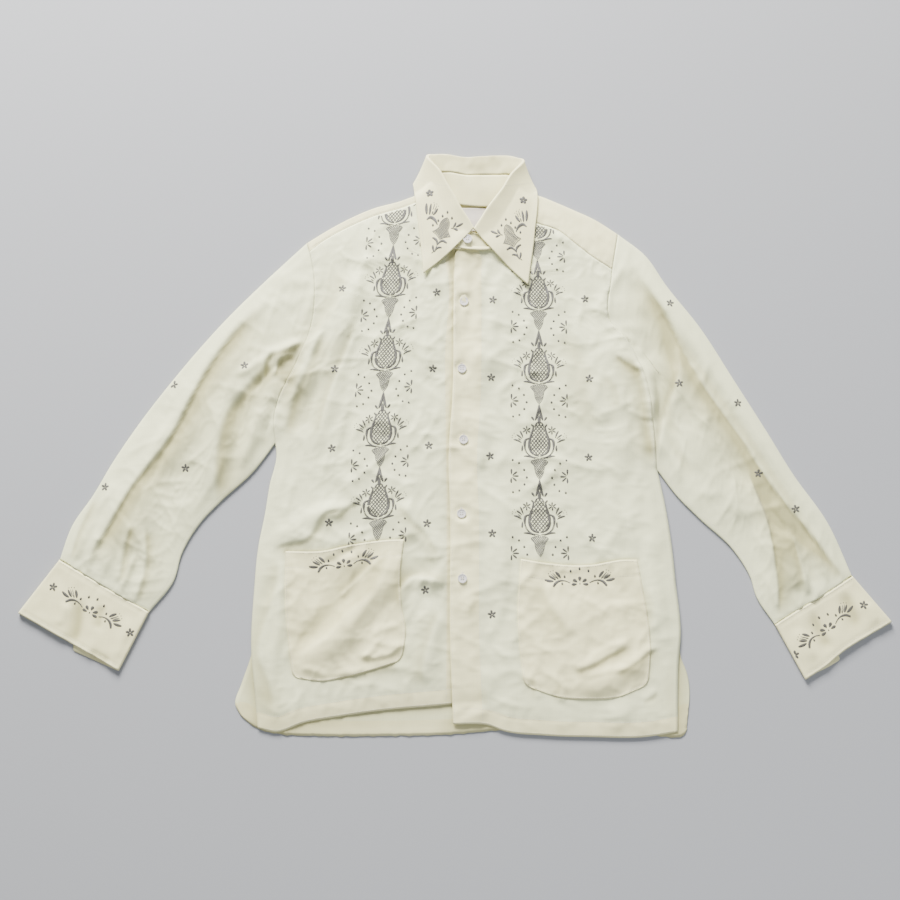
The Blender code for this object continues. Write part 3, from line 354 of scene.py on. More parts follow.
# Crisp folds that lie over to one side: the steep, shaded side is on the right of the path's run.
# Columns: half-width on the left and on the right; height; shade; reach of the shade; path of X, Y
PLEATS = (
    # left sleeve
    (16, 3.4, 3.8, 1.0, 26, (
        (-484, -180), (-457, -131), (-427, -75), (-382, -12), (-331, 90), (-300, 136), (-261, 178),
    )),
    (18, 7.0, 3.0, 0.9, 24, ((-317, -103), (-318, -71), (-315, -12), (-304, 29), (-274, 70), (-253, 105))),
    (7, 3.0, 2.8, 0.7, 7, ((-257, 62), (-249, 105), (-223, 113), (-201, 126))),
    (5, 3.0, 2.0, 0.8, 7, ((-242, 74), (-234, 99), (-214, 106))),
    (6, 3.0, 2.2, 0.7, 8, ((-436, -202), (-430, -150), (-422, -121))),
    (6, 3.0, 2.2, 0.8, 8, ((-414, -227), (-402, -169), (-406, -127))),
    (7, 3.2, 2.0, 0.7, 8, ((-503, -171), (-494, -134), (-475, -87))),
    (9, 6.0, 2.4, 0.8, 15, ((-231, -12), (-221, 33), (-194, 103), (-183, 140))),
    # right sleeve
    (16, 3.4, 4.0, 1.1, 22, (
        (243, 232), (287, 163), (306, 120), (329, 74), (378, -1), (419, -71), (464, -131), (490, -171),
        (501, -197),
    )),
    (7, 3.2, 2.0, 0.8, 8, ((447, -111), (472, -143), (494, -173), (508, -193))),
    (10, 4.5, 2.4, 0.7, 14, ((298, 154), (303, 107), (299, 65), (284, 23), (272, -26), (269, -49))),
    (10, 3.4, 3.0, 0.9, 16, ((414, -248), (416, -203), (413, -171), (407, -123), (396, -87), (384, -51))),
    (8, 4.0, 1.8, 0.6, 12, ((407, -87), (433, -123), (450, -171), (454, -218))),
    (9, 5.0, 2.6, 0.9, 12, ((223, 112), (247, 90), (254, 65), (259, 28), (264, -18), (268, -47))),
    (6, 3.2, 2.4, 1.0, 7, ((217, 107), (238, 90), (254, 81))),
    # left front
    (20, 12.0, 2.2, 0.7, 20, ((-127, 228), (-145, 189), (-163, 153), (-190, 113), (-200, 73), (-206, 44))),
    (8, 3.6, 1.6, 0.6, 9, ((-126, 153), (-151, 86), (-167, 44), (-180, -13))),
    (12, 6.0, 2.0, 0.6, 14, (
        (-234, -153), (-225, -177), (-232, -222), (-241, -252), (-249, -281), (-233, -325), (-223, -368),
    )),
    (9, 3.6, 2.0, 0.6, 10, ((-240, -153), (-220, -146), (-195, -141), (-171, -107), (-137, -98))),
    (6, 3.2, 1.4, 0.5, 7, ((-156, -116), (-144, -102), (-128, -91))),
    (9, 3.6, 1.6, 0.5, 10, ((-73, -91), (-54, -116), (-33, -137), (-14, -171))),
    (18, 8.0, 2.8, 0.7, 22, (
        (-74, -145), (-85, -177), (-99, -211), (-132, -240), (-159, -266), (-192, -290), (-204, -310),
    )),
    (7, 3.2, 1.6, 0.6, 8, ((-100, -168), (-121, -191), (-151, -219))),
    (6, 3.0, 1.6, 0.7, 7, ((-158, -316), (-115, -309), (-71, -296))),
    (7, 3.2, 1.6, 0.5, 8, ((-125, -290), (-87, -290), (-65, -273))),
    (7, 3.2, 2.0, 0.7, 9, ((-10, -202), (-29, -195), (-57, -195), (-66, -204), (-69, -233))),
    (11, 5.0, 1.8, 0.5, 14, ((-14, -233), (-29, -270), (-38, -310), (-35, -331))),
    # right front
    (12, 6.0, 1.6, 0.5, 14, ((47, 242), (38, 216), (29, 194))),
    (22, 13.0, 2.2, 0.6, 22, ((162, 147), (174, 119), (187, 81), (189, 34), (204, 2))),
    (9, 5.0, 1.4, 0.5, 10, ((203, 81), (219, 58), (223, 28))),
    (8, 3.2, 2.0, 0.7, 10, ((148, -309), (172, -301), (196, -289), (225, -274))),
    (7, 3.0, 1.8, 0.7, 9, ((202, -311), (227, -299), (249, -284), (261, -278))),
    (16, 8.0, 2.0, 0.5, 18, ((118, -195), (127, -226), (144, -250), (148, -269))),
    (10, 6.0, 1.6, 0.5, 12, ((252, -202), (259, -239), (252, -263))),
    (6, 3.4, 1.4, 0.5, 8, ((12, -239), (20, -226), (28, -217))),
    (5, 3.0, 1.2, 0.5, 6, ((104, -316), (105, -331), (106, -346))),
    (5, 3.0, 1.2, 0.5, 6, ((137, -325), (136, -338), (134, -349))),
    (5, 3.0, 1.4, 0.6, 6, ((40, -331), (41, -342), (42, -352))),
    (5, 3.0, 1.4, 0.5, 6, ((238, -346), (248, -341), (256, -334))),
)
PLEAT_FADE = 0.16
TROUGH_SHARE = 0.3
PLEAT_SHADE = 1.6
HIGHEST_FOLD = 12.0

# Painted warm shade on the cloth where shade falls, as under the collar, beside the placket, at the underarms
# and the sides. Columns: middle X, Y; reach in X and in Y; strength
PAINTED_SHADE_PATCHES = (
    (12, 244, 26, 16, 0.45),
    (-3, 233, 4, 16, 1.4),
    (-20, 232, 14, 26, 0.3),
    (-222, 66, 14, 40, 0.5),
    (-66, -196, 10, 30, 0.35),
    (-232, -350, 16, 26, 0.35),
    (-256, -346, 16, 30, 0.4),
    (276, -348, 10, 36, 0.25),
    (112, 276, 12, 40, 0.45),
    (100, 214, 16, 22, 0.25),
    (-62, 240, 14, 30, 0.25),
)

# Strength of the cuffs' dents
DENT_STRENGTH = 1.5

# The loose waves of the cloth between its folds
WAVE_COUNT = 22
WAVE_LENGTHS = (26.0, 120.0)
WAVE_SLOPE = 0.022
CRUMPLE_COUNT = 18
CRUMPLE_LENGTHS = (22.0, 80.0)
CRUMPLE_SLOPE = 0.023

# Grids: the wished size of a cell of the fronts and of the back in mm, rows of the yoke's two layers,
# and how many points nearest() works on at once
CELL = 2.4
BACK_CELL = 4.0
YOKE_BACK_ROWS = 26
YOKE_FRONT_ROWS = 14
POINTS_AT_ONCE = 4000

# Angles of the half circle round a fold, in degrees
FOLD_ANGLES = (-60, -30, 0, 30, 60)

# Columns: X, Y of the front edge's button stitches
BUTTONS = ((18, 265), (13, 178), (10, 85), (12, -11), (9, -109), (10, -193))
BUTTON_HOLE_SPACING = 2.9
BUTTON_SEAT = 10.0
BUTTON_GAP = 0.15
STAND_RISE_REACH = 14.0
STAND_LAP = 1.3
BUTTONHOLE = 15.0
STITCH_HALF_WIDTH = 0.32
STITCH_RISE = 0.25
STROKE_SINK = 0.04
COLLAR_STITCH_INSET = 5.0
ROLL_SHARE = 0.5
FRONT_BOW = 2.6
UNDERARM_STITCH_INSET = 6.0
LABEL_MIDDLE = (24, 297)
LABEL_SIZE = (50, 34)
LABEL_BORDER = 2.6

# In metres: the label's thickness, and the height that drape() starts from
LABEL_THICKNESS = 0.0004
DROP_HEIGHT = 0.2

# Share of the painted shade's colour where the painted shade is deepest
PAINTED_SHADE_SHARE = 0.88

# Where the photograph's camera looks, in metres
CAMERA_LOOKS_AT = (-0.006, -0.024, 0.0)


def a_colour(name, description, default):
    """A colour that the panel shows."""
    return FloatVectorProperty(
        name=name, description=description, subtype="COLOR", default=default, min=0, max=1,
    )


def a_length(name, description, default):
    """A length that the panel shows, in metres."""
    return FloatProperty(name=name, description=description, default=default, unit="LENGTH", precision=5)


def a_strength(name, description, default):
    """A factor that the panel shows."""
    return FloatProperty(name=name, description=description, default=default, min=0, max=4)


class ShirtCloth(bpy.types.PropertyGroup):
    """Sizes and colours of the cloth."""

    single_colour: a_colour("Single cloth", "Colour of one layer of cloth", (0.79, 0.81, 0.51))
    double_colour: a_colour("Double cloth", "Colour of the doubled cloth", (0.85, 0.81, 0.46))
    # The colour of the painted shade in the cloth's troughs, inside the neck and beside edges
    painted_shade_colour: a_colour("Hollows", "Colour that the cloth takes in its troughs", (0.37, 0.345, 0.155))
    label_colour: a_colour("Label", "Colour of the blank label", (0.56, 0.52, 0.47))
    border_colour: a_colour("Label's border", "Colour of the label's woven border", (0.47, 0.43, 0.37))
    thickness: a_length("Cloth", "Thickness of one layer", 0.00045)
    double_thickness: a_length("Doubled cloth", "Thickness of collar, stand and cuffs", 0.0009)
    fold: a_strength("Folds", "Strength of the large folds", 1.45)
    crease: a_strength("Creases", "Strength of the small creases", 1.8)
    pleat: a_strength("Pleats", "Strength of the crisp folds", 1.2)
    crumple: a_strength("Crumples", "Strength of the crumples", 1.0)


class ShirtThread(bpy.types.PropertyGroup):
    """Sizes and colours of the embroidery and the sewing."""

    embroidery_colour: a_colour("Embroidery", "Colour of the satin-stitched thread", (0.07, 0.068, 0.057))
    seed_colour: a_colour("Seed stitches", "Colour of the fine, lighter filling", (0.135, 0.132, 0.11))
    sewing_colour: a_colour("Sewing thread", "Colour of the topstitching", (0.66, 0.63, 0.49))
    rise: a_length("Rise", "How far the embroidery stands over the cloth", 0.00042)
    stitch: a_length("Stitch", "Length of one topstitch", 0.0024)
    pitch: a_length("Pitch", "From one topstitch to the next", 0.0033)


class ShirtStage(bpy.types.PropertyGroup):
    """The studio."""

    floor_colour: a_colour("Floor", "Colour of the floor", (0.33, 0.34, 0.36))
    key_power: FloatProperty(name="Key light", description="Main light", default=600.0, unit="POWER")
    fill_power: FloatProperty(name="Fill light", description="Fill light", default=20.0, unit="POWER")
    sky: FloatProperty(name="Sky", description="Strength of the even light all round", default=0.33)
    elevation: FloatProperty(
        name="Elevation", description="Camera's height over the horizon", default=math.radians(81.5),
        subtype="ANGLE",
    )
    distance: a_length("Distance", "From the camera to the shirt", 1.197)


def settings():
    """The three groups of sizes and colours, as the panel shows them."""
    scene = bpy.context.scene
    return scene.shirt_cloth, scene.shirt_thread, scene.shirt_stage


def curve(rows, at, by="length"):
    """A smooth cubic curve through the rows, whose slope at each row is the weighted mean of its two runs.

    The shares in at count the length in plan, or the rows themselves.
    """
    rows = np.asarray(rows, float)
    steps = np.ones(len(rows) - 1)
    if by == "length":
        steps = np.linalg.norm(np.diff(rows[:, :2], axis=0), axis=1)
    knots = np.concatenate([[0.0], np.cumsum(steps)])
    knots /= knots[-1]
    gaps = np.diff(knots)[:, None]
    slopes = np.diff(rows, axis=0) / gaps
    inner = (slopes[:-1] * gaps[1:] + slopes[1:] * gaps[:-1]) / (gaps[:-1] + gaps[1:])
    tangents = np.concatenate([slopes[:1], inner, slopes[-1:]])
    at = np.clip(np.asarray(at, float), 0.0, 1.0)
    i = np.clip(np.searchsorted(knots, at, side="right") - 1, 0, len(rows) - 2)
    gap = gaps[i]
    s = (at[:, None] - knots[i][:, None]) / gap
    return (
        (2 * s**3 - 3 * s**2 + 1) * rows[i]
        + (s**3 - 2 * s**2 + s) * gap * tangents[i]
        + (3 * s**2 - 2 * s**3) * rows[i + 1]
        + (s**3 - s**2) * gap * tangents[i + 1]
    )


def shares(count):
    return np.linspace(0, 1, count + 1)


def smooth(rows, count):
    """The smooth curve through the rows, read at count + 1 points."""
    return curve(rows, shares(count))


def run_along(line):
    """The length of a polyline up to each of its points."""
    return np.concatenate([[0.0], np.cumsum(np.linalg.norm(np.diff(line, axis=0), axis=1))])


def evenly(points, count):
    """The polyline read at count + 1 points, an even length apart."""
    points = np.asarray(points, float)
    run = run_along(points)
    at = np.linspace(0, run[-1], count + 1)
    return np.stack([np.interp(at, run, column) for column in points.T], -1)


def unit(vectors):
    return vectors / np.linalg.norm(vectors, axis=-1, keepdims=True)


def leftwards(vectors):
    """Vectors in plan, each turned by a quarter to its left."""
    return np.stack([-vectors[..., 1], vectors[..., 0]], -1)


def length_of(points):
    return float(np.linalg.norm(np.diff(points, axis=0), axis=1).sum())


def patch(top, bottom, left, right, down=None):
    """A panel between four edges: each point is the blend of both pairs of edges less the corners' blend."""
    down = np.linspace(0, 1, len(left)) if down is None else down
    u = down[:, None, None]
    w = np.linspace(0, 1, len(top))[None, :, None]
    corners = (
        (1 - u) * (1 - w) * top[0]
        + (1 - u) * w * top[-1]
        + u * (1 - w) * bottom[0]
        + u * w * bottom[-1]
    )
    return (1 - u) * top[None] + u * bottom[None] + (1 - w) * left[:, None] + w * right[:, None] - corners


def smooth_step(value):
    value = np.clip(value, 0, 1)
    return value * value * (3 - 2 * value)


def fall(distance, reach, power=1):
    """From 1 at no distance down to 0 as exp(-(distance / reach)^power)."""
    return np.exp(-((distance / reach) ** power))


def nearest(line, x, y):
    """For each point in plan, its distance to a polyline and how far along it the nearest place lies."""
    line = np.asarray(line, float)
    start, run = line[:-1], np.diff(line, axis=0)
    square = np.maximum((run**2).sum(-1), 1e-9)
    before = np.concatenate([[0], np.cumsum(np.sqrt(square))])[:-1]
    plan = np.stack([x.ravel(), y.ravel()], -1)
    distance, along = np.empty(len(plan)), np.empty(len(plan))
    for first in range(0, len(plan), POINTS_AT_ONCE):
        these = slice(first, first + POINTS_AT_ONCE)
        points = plan[these, None, :]
        share = np.clip(((points - start) * run).sum(-1) / square, 0, 1)
        gaps = np.linalg.norm(points - start - share[..., None] * run, axis=-1)
        best = gaps.argmin(1)
        rows = np.arange(len(best))
        distance[these] = gaps[rows, best]
        along[these] = before[best] + share[rows, best] * np.sqrt(square[best])
    return distance.reshape(x.shape), along.reshape(x.shape)


def distance_to(line, x, y):
    return nearest(line, x, y)[0]


def outline():
    """The outer edge of the laid shirt in plan, from the left shoulder round the hem to the right."""
    return np.concatenate([
        smooth([row[:2] for row in reversed(LEFT.fold)], 24),
        smooth(LEFT.shoulder_to_cuff, 24),
        smooth(LEFT.cuff_hem, 24),
        smooth(LEFT.underarm_to_cuff, 24)[::-1],
        smooth(LEFT.side, 24),
        smooth(LEFT.hem, 24),
        smooth(RIGHT.hem, 24),
        smooth(RIGHT.side, 24)[::-1],
        smooth(RIGHT.underarm_to_cuff, 24),
        smooth(RIGHT.cuff_hem, 24)[::-1],
        smooth(RIGHT.shoulder_to_cuff, 24)[::-1],
        smooth([row[:2] for row in reversed(RIGHT.fold)], 24),
    ])


OUTLINE = outline()


def bells(table, x, y):
    """The sum of the table's folds: each is a bell across its bowed run that fades out at both ends."""
    total = np.zeros_like(x)
    for x0, y0, x1, y1, bow, left_width, right_width, height in table:
        length = math.hypot(x1 - x0, y1 - y0)
        along_x, along_y = (x1 - x0) / length, (y1 - y0) / length
        share = ((x - x0) * along_x + (y - y0) * along_y) / length
        across = (y - y0) * along_x - (x - x0) * along_y
        across = across - bow * 4 * share * (1 - share)
        width = np.where(across > 0, left_width, right_width)
        fade = smooth_step(share / FOLD_FADE) * smooth_step((1 - share) / FOLD_FADE)
        total += height * fade * np.exp(-((across / width) ** 2))
    return total


def beside(line, x, y):
    """For each point, its distance to a line, negative on the right of its run, and its share of the run."""
    distance, along = nearest(line, x, y)
    steps = np.diff(line, axis=0)
    run = run_along(line)
    middles = (run[1:] + run[:-1]) / 2
    way_x, way_y = (np.interp(along, middles, steps[:, axis]) for axis in (0, 1))
    at_x, at_y = (np.interp(along, run, line[:, axis]) for axis in (0, 1))
    left = way_x * (y - at_y) - way_y * (x - at_x)
    return distance * np.sign(left), along / run[-1]


def close_to(line, margin, x, y):
    """Whether each point lies in the line's box, a margin wider all round."""
    low, high = line.min(0) - margin, line.max(0) + margin
    return (x > low[0]) & (x < high[0]) & (y > low[1]) & (y < high[1])


def pleats(x, y):
    """Height and shade of the crisp folds: a bell, gentle on its left, steep on its right, then a dip.

    The shade is strongest where the steep side ends and dies away across the dip; all fades out at both ends.
    """
    height, shade = np.zeros_like(x), np.zeros_like(x)
    for gentle, steep, rise, tint, reach, path in PLEATS:
        line = smooth(path, 40)
        close = close_to(line, 3 * max(gentle, reach), x, y)
        if not close.any():
            continue
        signed, share = beside(line, x[close], y[close])
        fade = smooth_step(share / PLEAT_FADE) * smooth_step((1 - share) / PLEAT_FADE)
        ridge = fall(signed, np.where(signed > 0, gentle, steep), 2)
        trough = np.where(signed < 0, (1 - ridge) * np.exp(signed / reach), 0)
        height[close] += rise * fade * (ridge - TROUGH_SHARE * trough)
        shade[close] += tint * fade * trough
    return height, shade


def waves(x, y):
    """Long, low waves: sines of many lengths and directions, each as steep as the next."""
    draw = np.random.default_rng(11)
    total = np.zeros_like(x)
    for _ in range(WAVE_COUNT):
        wave_length = math.exp(draw.uniform(math.log(WAVE_LENGTHS[0]), math.log(WAVE_LENGTHS[1])))
        angle, phase = draw.uniform(0, math.pi), draw.uniform(0, 2 * math.pi)
        height = WAVE_SLOPE * wave_length / (2 * math.pi)
        bend = 5 * np.sin((x * math.sin(angle) - y * math.cos(angle)) / (1.7 * wave_length) + phase)
        run = x * math.cos(angle) + y * math.sin(angle) + bend
        total += height * np.sin(2 * math.pi * run / wave_length + phase)
    return total


def crumples(x, y):
    """Worn-in crumples: cubed crests of 1 - |sin| on bent lines, mostly down the cloth, in patches."""
    draw = np.random.default_rng(23)
    total = np.zeros_like(x)
    for _ in range(CRUMPLE_COUNT):
        length = math.exp(draw.uniform(math.log(CRUMPLE_LENGTHS[0]), math.log(CRUMPLE_LENGTHS[1])))
        angle = draw.uniform(-1.1, 1.1)
        starts = draw.uniform(0, 2 * math.pi, 4)
        u = x * math.cos(angle) + y * math.sin(angle)
        v = y * math.cos(angle) - x * math.sin(angle)
        bend = 0.4 * length * np.sin(2 * math.pi * v / (2.3 * length) + starts[0])
        crest = 1 - np.abs(np.sin(math.pi * (u + bend) / length + starts[1]))
        patches = np.sin(2 * math.pi * u / (2.7 * length) + starts[2])
        patches = patches * np.sin(2 * math.pi * v / (3.1 * length) + starts[3])
        total += CRUMPLE_SLOPE * length * crest**3 * smooth_step(1.6 * patches)
    return total


def puckers(along, seed, period=11.0):
    """Uneven ripples along a seam, from -1 to 1: three sines whose lengths don't match."""
    draw = np.random.default_rng(seed)
    phases = draw.uniform(0, 2 * math.pi, 3)
    turn = 2 * math.pi * along / period
    return (
        np.sin(turn + phases[0])
        + 0.7 * np.sin(0.62 * turn + phases[1])
        + 0.5 * np.sin(1.63 * turn + phases[2])
    ) / 2.2


def front_edge(at, count, level):
    """A front's edge below the neck, as far up as a level."""
    edge = smooth(at.centre, count)
    return edge[edge[:, 1] < level]


def yoke_seam(at, count):
    return smooth([(row[0], row[2]) for row in at.fold], count)


def seams():
    """The lines that draw the cloth in: line, depth, half-width, height, reach and period of the puckers."""
    right_hem, left_hem = (smooth(at.hem, 60) + (0.0, HEM_WIDTH) for at in (RIGHT, LEFT))
    found = [(smooth(at.armhole, 40), 0.3, 2.4, 0.34, 13.0, 17.0) for at in SIDES]
    found.append((front_edge(RIGHT, 60, BAND_TOP) + (BAND_WIDTH, 0.0), 0.35, 1.8, 0.16, 9.0, 13.0))
    found += [(right_hem, 0.35, 1.8, 0.32, 12.0, 17.0), (left_hem, 0.35, 1.8, 0.42, 14.0, 17.0)]
    found += [(smooth(at.cuff_seam, 12), 0.8, 2.6, 0.3, 26.0, 17.0) for at in SIDES]
    found += [(yoke_seam(at, 20), 0.4, 2.2, 0.28, 9.0, 12.0) for at in SIDES]
    found += [(pocket_outline(at.pocket, 3.0), 0.3, 2.0, 0.16, 10.0, 16.0) for at in SIDES]
    return found


def pocket_plan(edges, rows, columns):
    """A pocket's grid in plan: a patch whose two lower corners are drawn in along a quarter circle.

    Within a corner's radius of the bottom, each row is shortened to the circle's chord.
    """
    top, bottom, left, right = edges
    plan = patch(smooth(top, columns), smooth(bottom, columns), smooth(left, rows), smooth(right, rows))
    above = (1 - shares(rows)) * length_of(plan[:, 0])
    inside = np.maximum(POCKET_CORNER - above, 0)
    short = POCKET_CORNER - np.sqrt(np.maximum(POCKET_CORNER**2 - inside**2, 0))
    middle = plan.mean(1, keepdims=True)
    return middle + (plan - middle) * (1 - 2 * short / length_of(plan[0]))[:, None, None]


def pocket_outline(edges, inset):
    """The pocket's sewn edge, from its top left corner round the bottom to its top right, set in."""
    plan = pocket_plan(edges, 40, 40)
    return offset_inwards(np.concatenate([plan[:-1, 0], plan[-1], plan[::-1, -1][1:]]), inset)


def offset_inwards(line, inset):
    """The line moved to its left by inset, square to its mean direction at each point."""
    return line + inset * leftwards(unit(np.gradient(line, axis=0)))


SEAMS = seams()


def cloth_height(x, y):
    """The height of the upper layer: a rise from the outline, the folds on it, and the seams' dips."""
    cloth = settings()[0]
    crease = cloth.crease
    rise = 1 - fall(distance_to(OUTLINE, x, y), RISE_LENGTH)
    folds = cloth.fold * bells(FOLDS, x, y) + crease * (bells(CREASES, x, y) + 0.35 * waves(x, y))
    folds += cloth.pleat * pleats(x, y)[0] + cloth.crumple * crumples(x, y)
    folds = np.where(folds > 0, HIGHEST_FOLD * np.tanh(folds / HIGHEST_FOLD), folds)
    height = EDGE_HEIGHT + (FULL_HEIGHT - EDGE_HEIGHT + folds) * rise
    for number, (line, depth, width, ripple, reach, period) in enumerate(SEAMS):
        close = close_to(line, SEAM_REACH, x, y)
        if not close.any():
            continue
        distance, along = nearest(line, x[close], y[close])
        drawn = -depth * fall(distance, width, 2)
        drawn += crease * ripple * puckers(along, number, period) * fall(distance, reach) * rise[close]
        height[close] += drawn
    return np.maximum(height, EDGE_HEIGHT + 0.3 * rise)


def painted_shade_of(x, y):
    """Painted shade, from 0 on a ridge to 1: the pleats' painted shade or the folds' height turned over,
    whichever is more.

    The patches are soft warm patches of painted shade: each falls off as exp(-r²) with its own reach in X and
    in Y; the sum is clipped.
    """
    folds = bells(FOLDS, x, y) + 1.2 * bells(CREASES, x, y)
    found = np.maximum(PLEAT_SHADE * pleats(x, y)[1], -folds / 6.0)
    for middle_x, middle_y, reach_x, reach_y, strength in PAINTED_SHADE_PATCHES:
        found += strength * np.exp(-(((x - middle_x) / reach_x) ** 2) - ((y - middle_y) / reach_y) ** 2)
    return np.clip(found, 0, 1)


def eased(field, reach, rounds):
    """A smooth field nowhere below the given one: each point takes the highest near it, then the mean."""
    high = np.pad(field, reach, mode="edge")
    for axis in (0, 1):
        high = np.max([np.roll(high, step, axis) for step in range(-reach, reach + 1)], axis=0)
    for _ in range(rounds):
        for axis in (0, 1):
            high = (np.roll(high, 1, axis) + 2 * high + np.roll(high, -1, axis)) / 4
    return np.maximum(high[reach:-reach, reach:-reach], field)


def with_height(plan, height):
    return np.concatenate([plan, height[..., None]], axis=-1)


def grid_faces(rows, columns, round_about=False):
    """The corner numbers of each four-sided face of a grid, and of the closing faces on a tube."""
    r = np.arange(rows - 1)[:, None]
    c = np.arange(columns if round_about else columns - 1)[None, :]
    nxt = (c + 1) % columns
    faces = np.stack([r * columns + c, r * columns + nxt, (r + 1) * columns + nxt, (r + 1) * columns + c], -1)
    return faces.reshape(-1, 4)


def mesh_object(name, points, faces, finish, uv, hollow=None):
    """Puts a grid into a mesh: points in mm, with one UV pair and perhaps the depth of its painted shade for
    each.
    """
    mesh = bpy.data.meshes.new(name)
    points = np.asarray(points, float).reshape(-1, 3)
    mesh.vertices.add(len(points))
    placed = (points + np.array([*ORIGIN_SHIFT, 0.0])) * MM
    mesh.vertices.foreach_set("co", placed.astype(np.float32).ravel())
    mesh.loops.add(faces.size)
    mesh.loops.foreach_set("vertex_index", faces.astype(np.int32).ravel())
    mesh.polygons.add(len(faces))
    mesh.polygons.foreach_set("loop_start", np.arange(0, faces.size, 4, dtype=np.int32))
    mesh.update(calc_edges=True)
    layer = mesh.uv_layers.new(name="edges")
    layer.data.foreach_set("uv", np.asarray(uv, np.float32).reshape(-1, 2)[faces.ravel()].ravel())
    if hollow is not None:
        attribute = mesh.attributes.new("hollow", "FLOAT", "POINT")
        attribute.data.foreach_set("value", np.asarray(hollow, np.float32).ravel())
    mesh.validate()
    mesh.shade_smooth()
    mesh.materials.append(finish)
    obj = bpy.data.objects.new(name, mesh)
    bpy.context.scene.collection.objects.link(obj)
    return obj


def add_cloth(name, node, points, slot, thickness, cut, faces=None, uv=None, hollow=None, flip=False):
    """One piece of cloth as a thin shell that stands for its solid: the points are its outer side.

    The cut is the flat size in metres, how the piece is held, and what it rests on; it is not used.
    """
    count = points.shape[0] * points.shape[1]
    faces = grid_faces(*points.shape[:2]) if faces is None else faces
    uv = np.ones((count, 2)) if uv is None else uv
    hollow = np.zeros(count) if hollow is None else hollow
    obj = mesh_object(name, points, faces[:, ::-1] if flip else faces, cloth_finish(slot), uv, hollow)
    wall = obj.modifiers.new("Cloth", "SOLIDIFY")
    wall.thickness = thickness
    wall.offset = -1.0
    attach(obj, "root")
    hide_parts(node)
    flat, held, rests_on = cut
    area = min(area_of(points, faces), flat[0] * flat[1])


def cloths(*names):
    return [bpy.data.objects[f"{name}_cloth"] for name in names]


def area_of(points, faces):
    """The developed area of a surface in square metres: the sum of its faces, each as two triangles."""
    p = points.reshape(-1, 3)[faces] * MM
    first = np.cross(p[:, 1] - p[:, 0], p[:, 2] - p[:, 0])
    second = np.cross(p[:, 2] - p[:, 0], p[:, 3] - p[:, 0])
    return float((np.linalg.norm(first, axis=1) + np.linalg.norm(second, axis=1)).sum() / 2)


def drape(x, y, targets):
    """The height in mm of the topmost of the targets at each place in plan, or -1 beside them all.

    The places are dropped straight down onto each target with a Shrinkwrap, and the highest landing counts.
    """
    x, y = np.asarray(x, float), np.asarray(y, float)
    start = np.stack([x.ravel() * MM, y.ravel() * MM, np.full(x.size, DROP_HEIGHT)], -1)
    start[:, :2] += np.array(ORIGIN_SHIFT) * MM
    mesh = bpy.data.meshes.new("probe")
    mesh.vertices.add(len(start))
    mesh.vertices.foreach_set("co", start.astype(np.float32).ravel())
    probe = bpy.data.objects.new("probe", mesh)
    bpy.context.scene.collection.objects.link(probe)
    highest = np.full(len(start), -1.0)
    for target in targets:
        drop = probe.modifiers.new("Drop", "SHRINKWRAP")
        drop.wrap_method = "PROJECT"
        drop.use_project_z = drop.use_negative_direction = True
        drop.use_positive_direction = False
        drop.target = target
        bpy.context.view_layer.update()
        landed = probe.evaluated_get(bpy.context.evaluated_depsgraph_get()).data
        found = np.empty(len(start) * 3, np.float32)
        landed.vertices.foreach_get("co", found)
        z = found[2::3] / MM
        highest = np.where(z < DROP_HEIGHT / MM - 1, np.maximum(highest, z), highest)
        probe.modifiers.remove(drop)
    bpy.data.objects.remove(probe, do_unlink=True)
    bpy.data.meshes.remove(mesh)
    return highest.reshape(x.shape)


def new_material(name):
    """The material of that name and a function that adds nodes to it, or None where it is there already.

    The function sets a node's own values, then its inputs: a socket is joined, and all else is a number.
    """
    finish = bpy.data.materials.get(name)
    if finish is not None:
        return finish, None
    finish = bpy.data.materials.new(name)
    finish.use_nodes = True
    tree = finish.node_tree

    def add(kind, inputs, **values):
        node = tree.nodes["Principled BSDF"] if kind == "Principled" else tree.nodes.new("ShaderNode" + kind)
        for key, value in values.items():
            setattr(node, key, value)
        for key, value in inputs.items():
            if isinstance(value, bpy.types.NodeSocket):
                tree.links.new(value, node.inputs[key])
            else:
                node.inputs[key].default_value = value
        return node

    return finish, add


def ramp(add, value, low, high, start=0.0):
    """A colour that goes from low, at the start, to high, at 1, with the value."""
    tone = add("ValToRGB", {"Fac": value})
    for element, colour, position in zip(tone.color_ramp.elements, (low, high), (start, 1.0)):
        element.position = position
        element.color = (*colour, 1)
    return tone.outputs["Color"]


def speckled_material(name, scale, detail, low, high, shine):
    """One colour that goes from low to high in soft specks of noise."""
    finish, add = new_material(name)
    if add is not None:
        place = add("TexCoord", {}).outputs["Object"]
        specks = add("TexNoise", {"Scale": scale, "Detail": detail, "Vector": place}).outputs["Fac"]
        add("Principled", {**shine, "Base Color": ramp(add, specks, low, high)})
    return finish


def cloth_finish(slot):
    """The material of a slot of cloth, from its name, its colour and the colour of its doubled edges."""
    cloth = settings()[0]
    return cloth_material(*{
        "cloth": ("single cloth", cloth.single_colour, cloth.double_colour),
        "double_cloth": ("double cloth", cloth.double_colour, cloth.double_colour),
        "label_tape": ("label tape", cloth.label_colour, cloth.border_colour),
    }[slot])


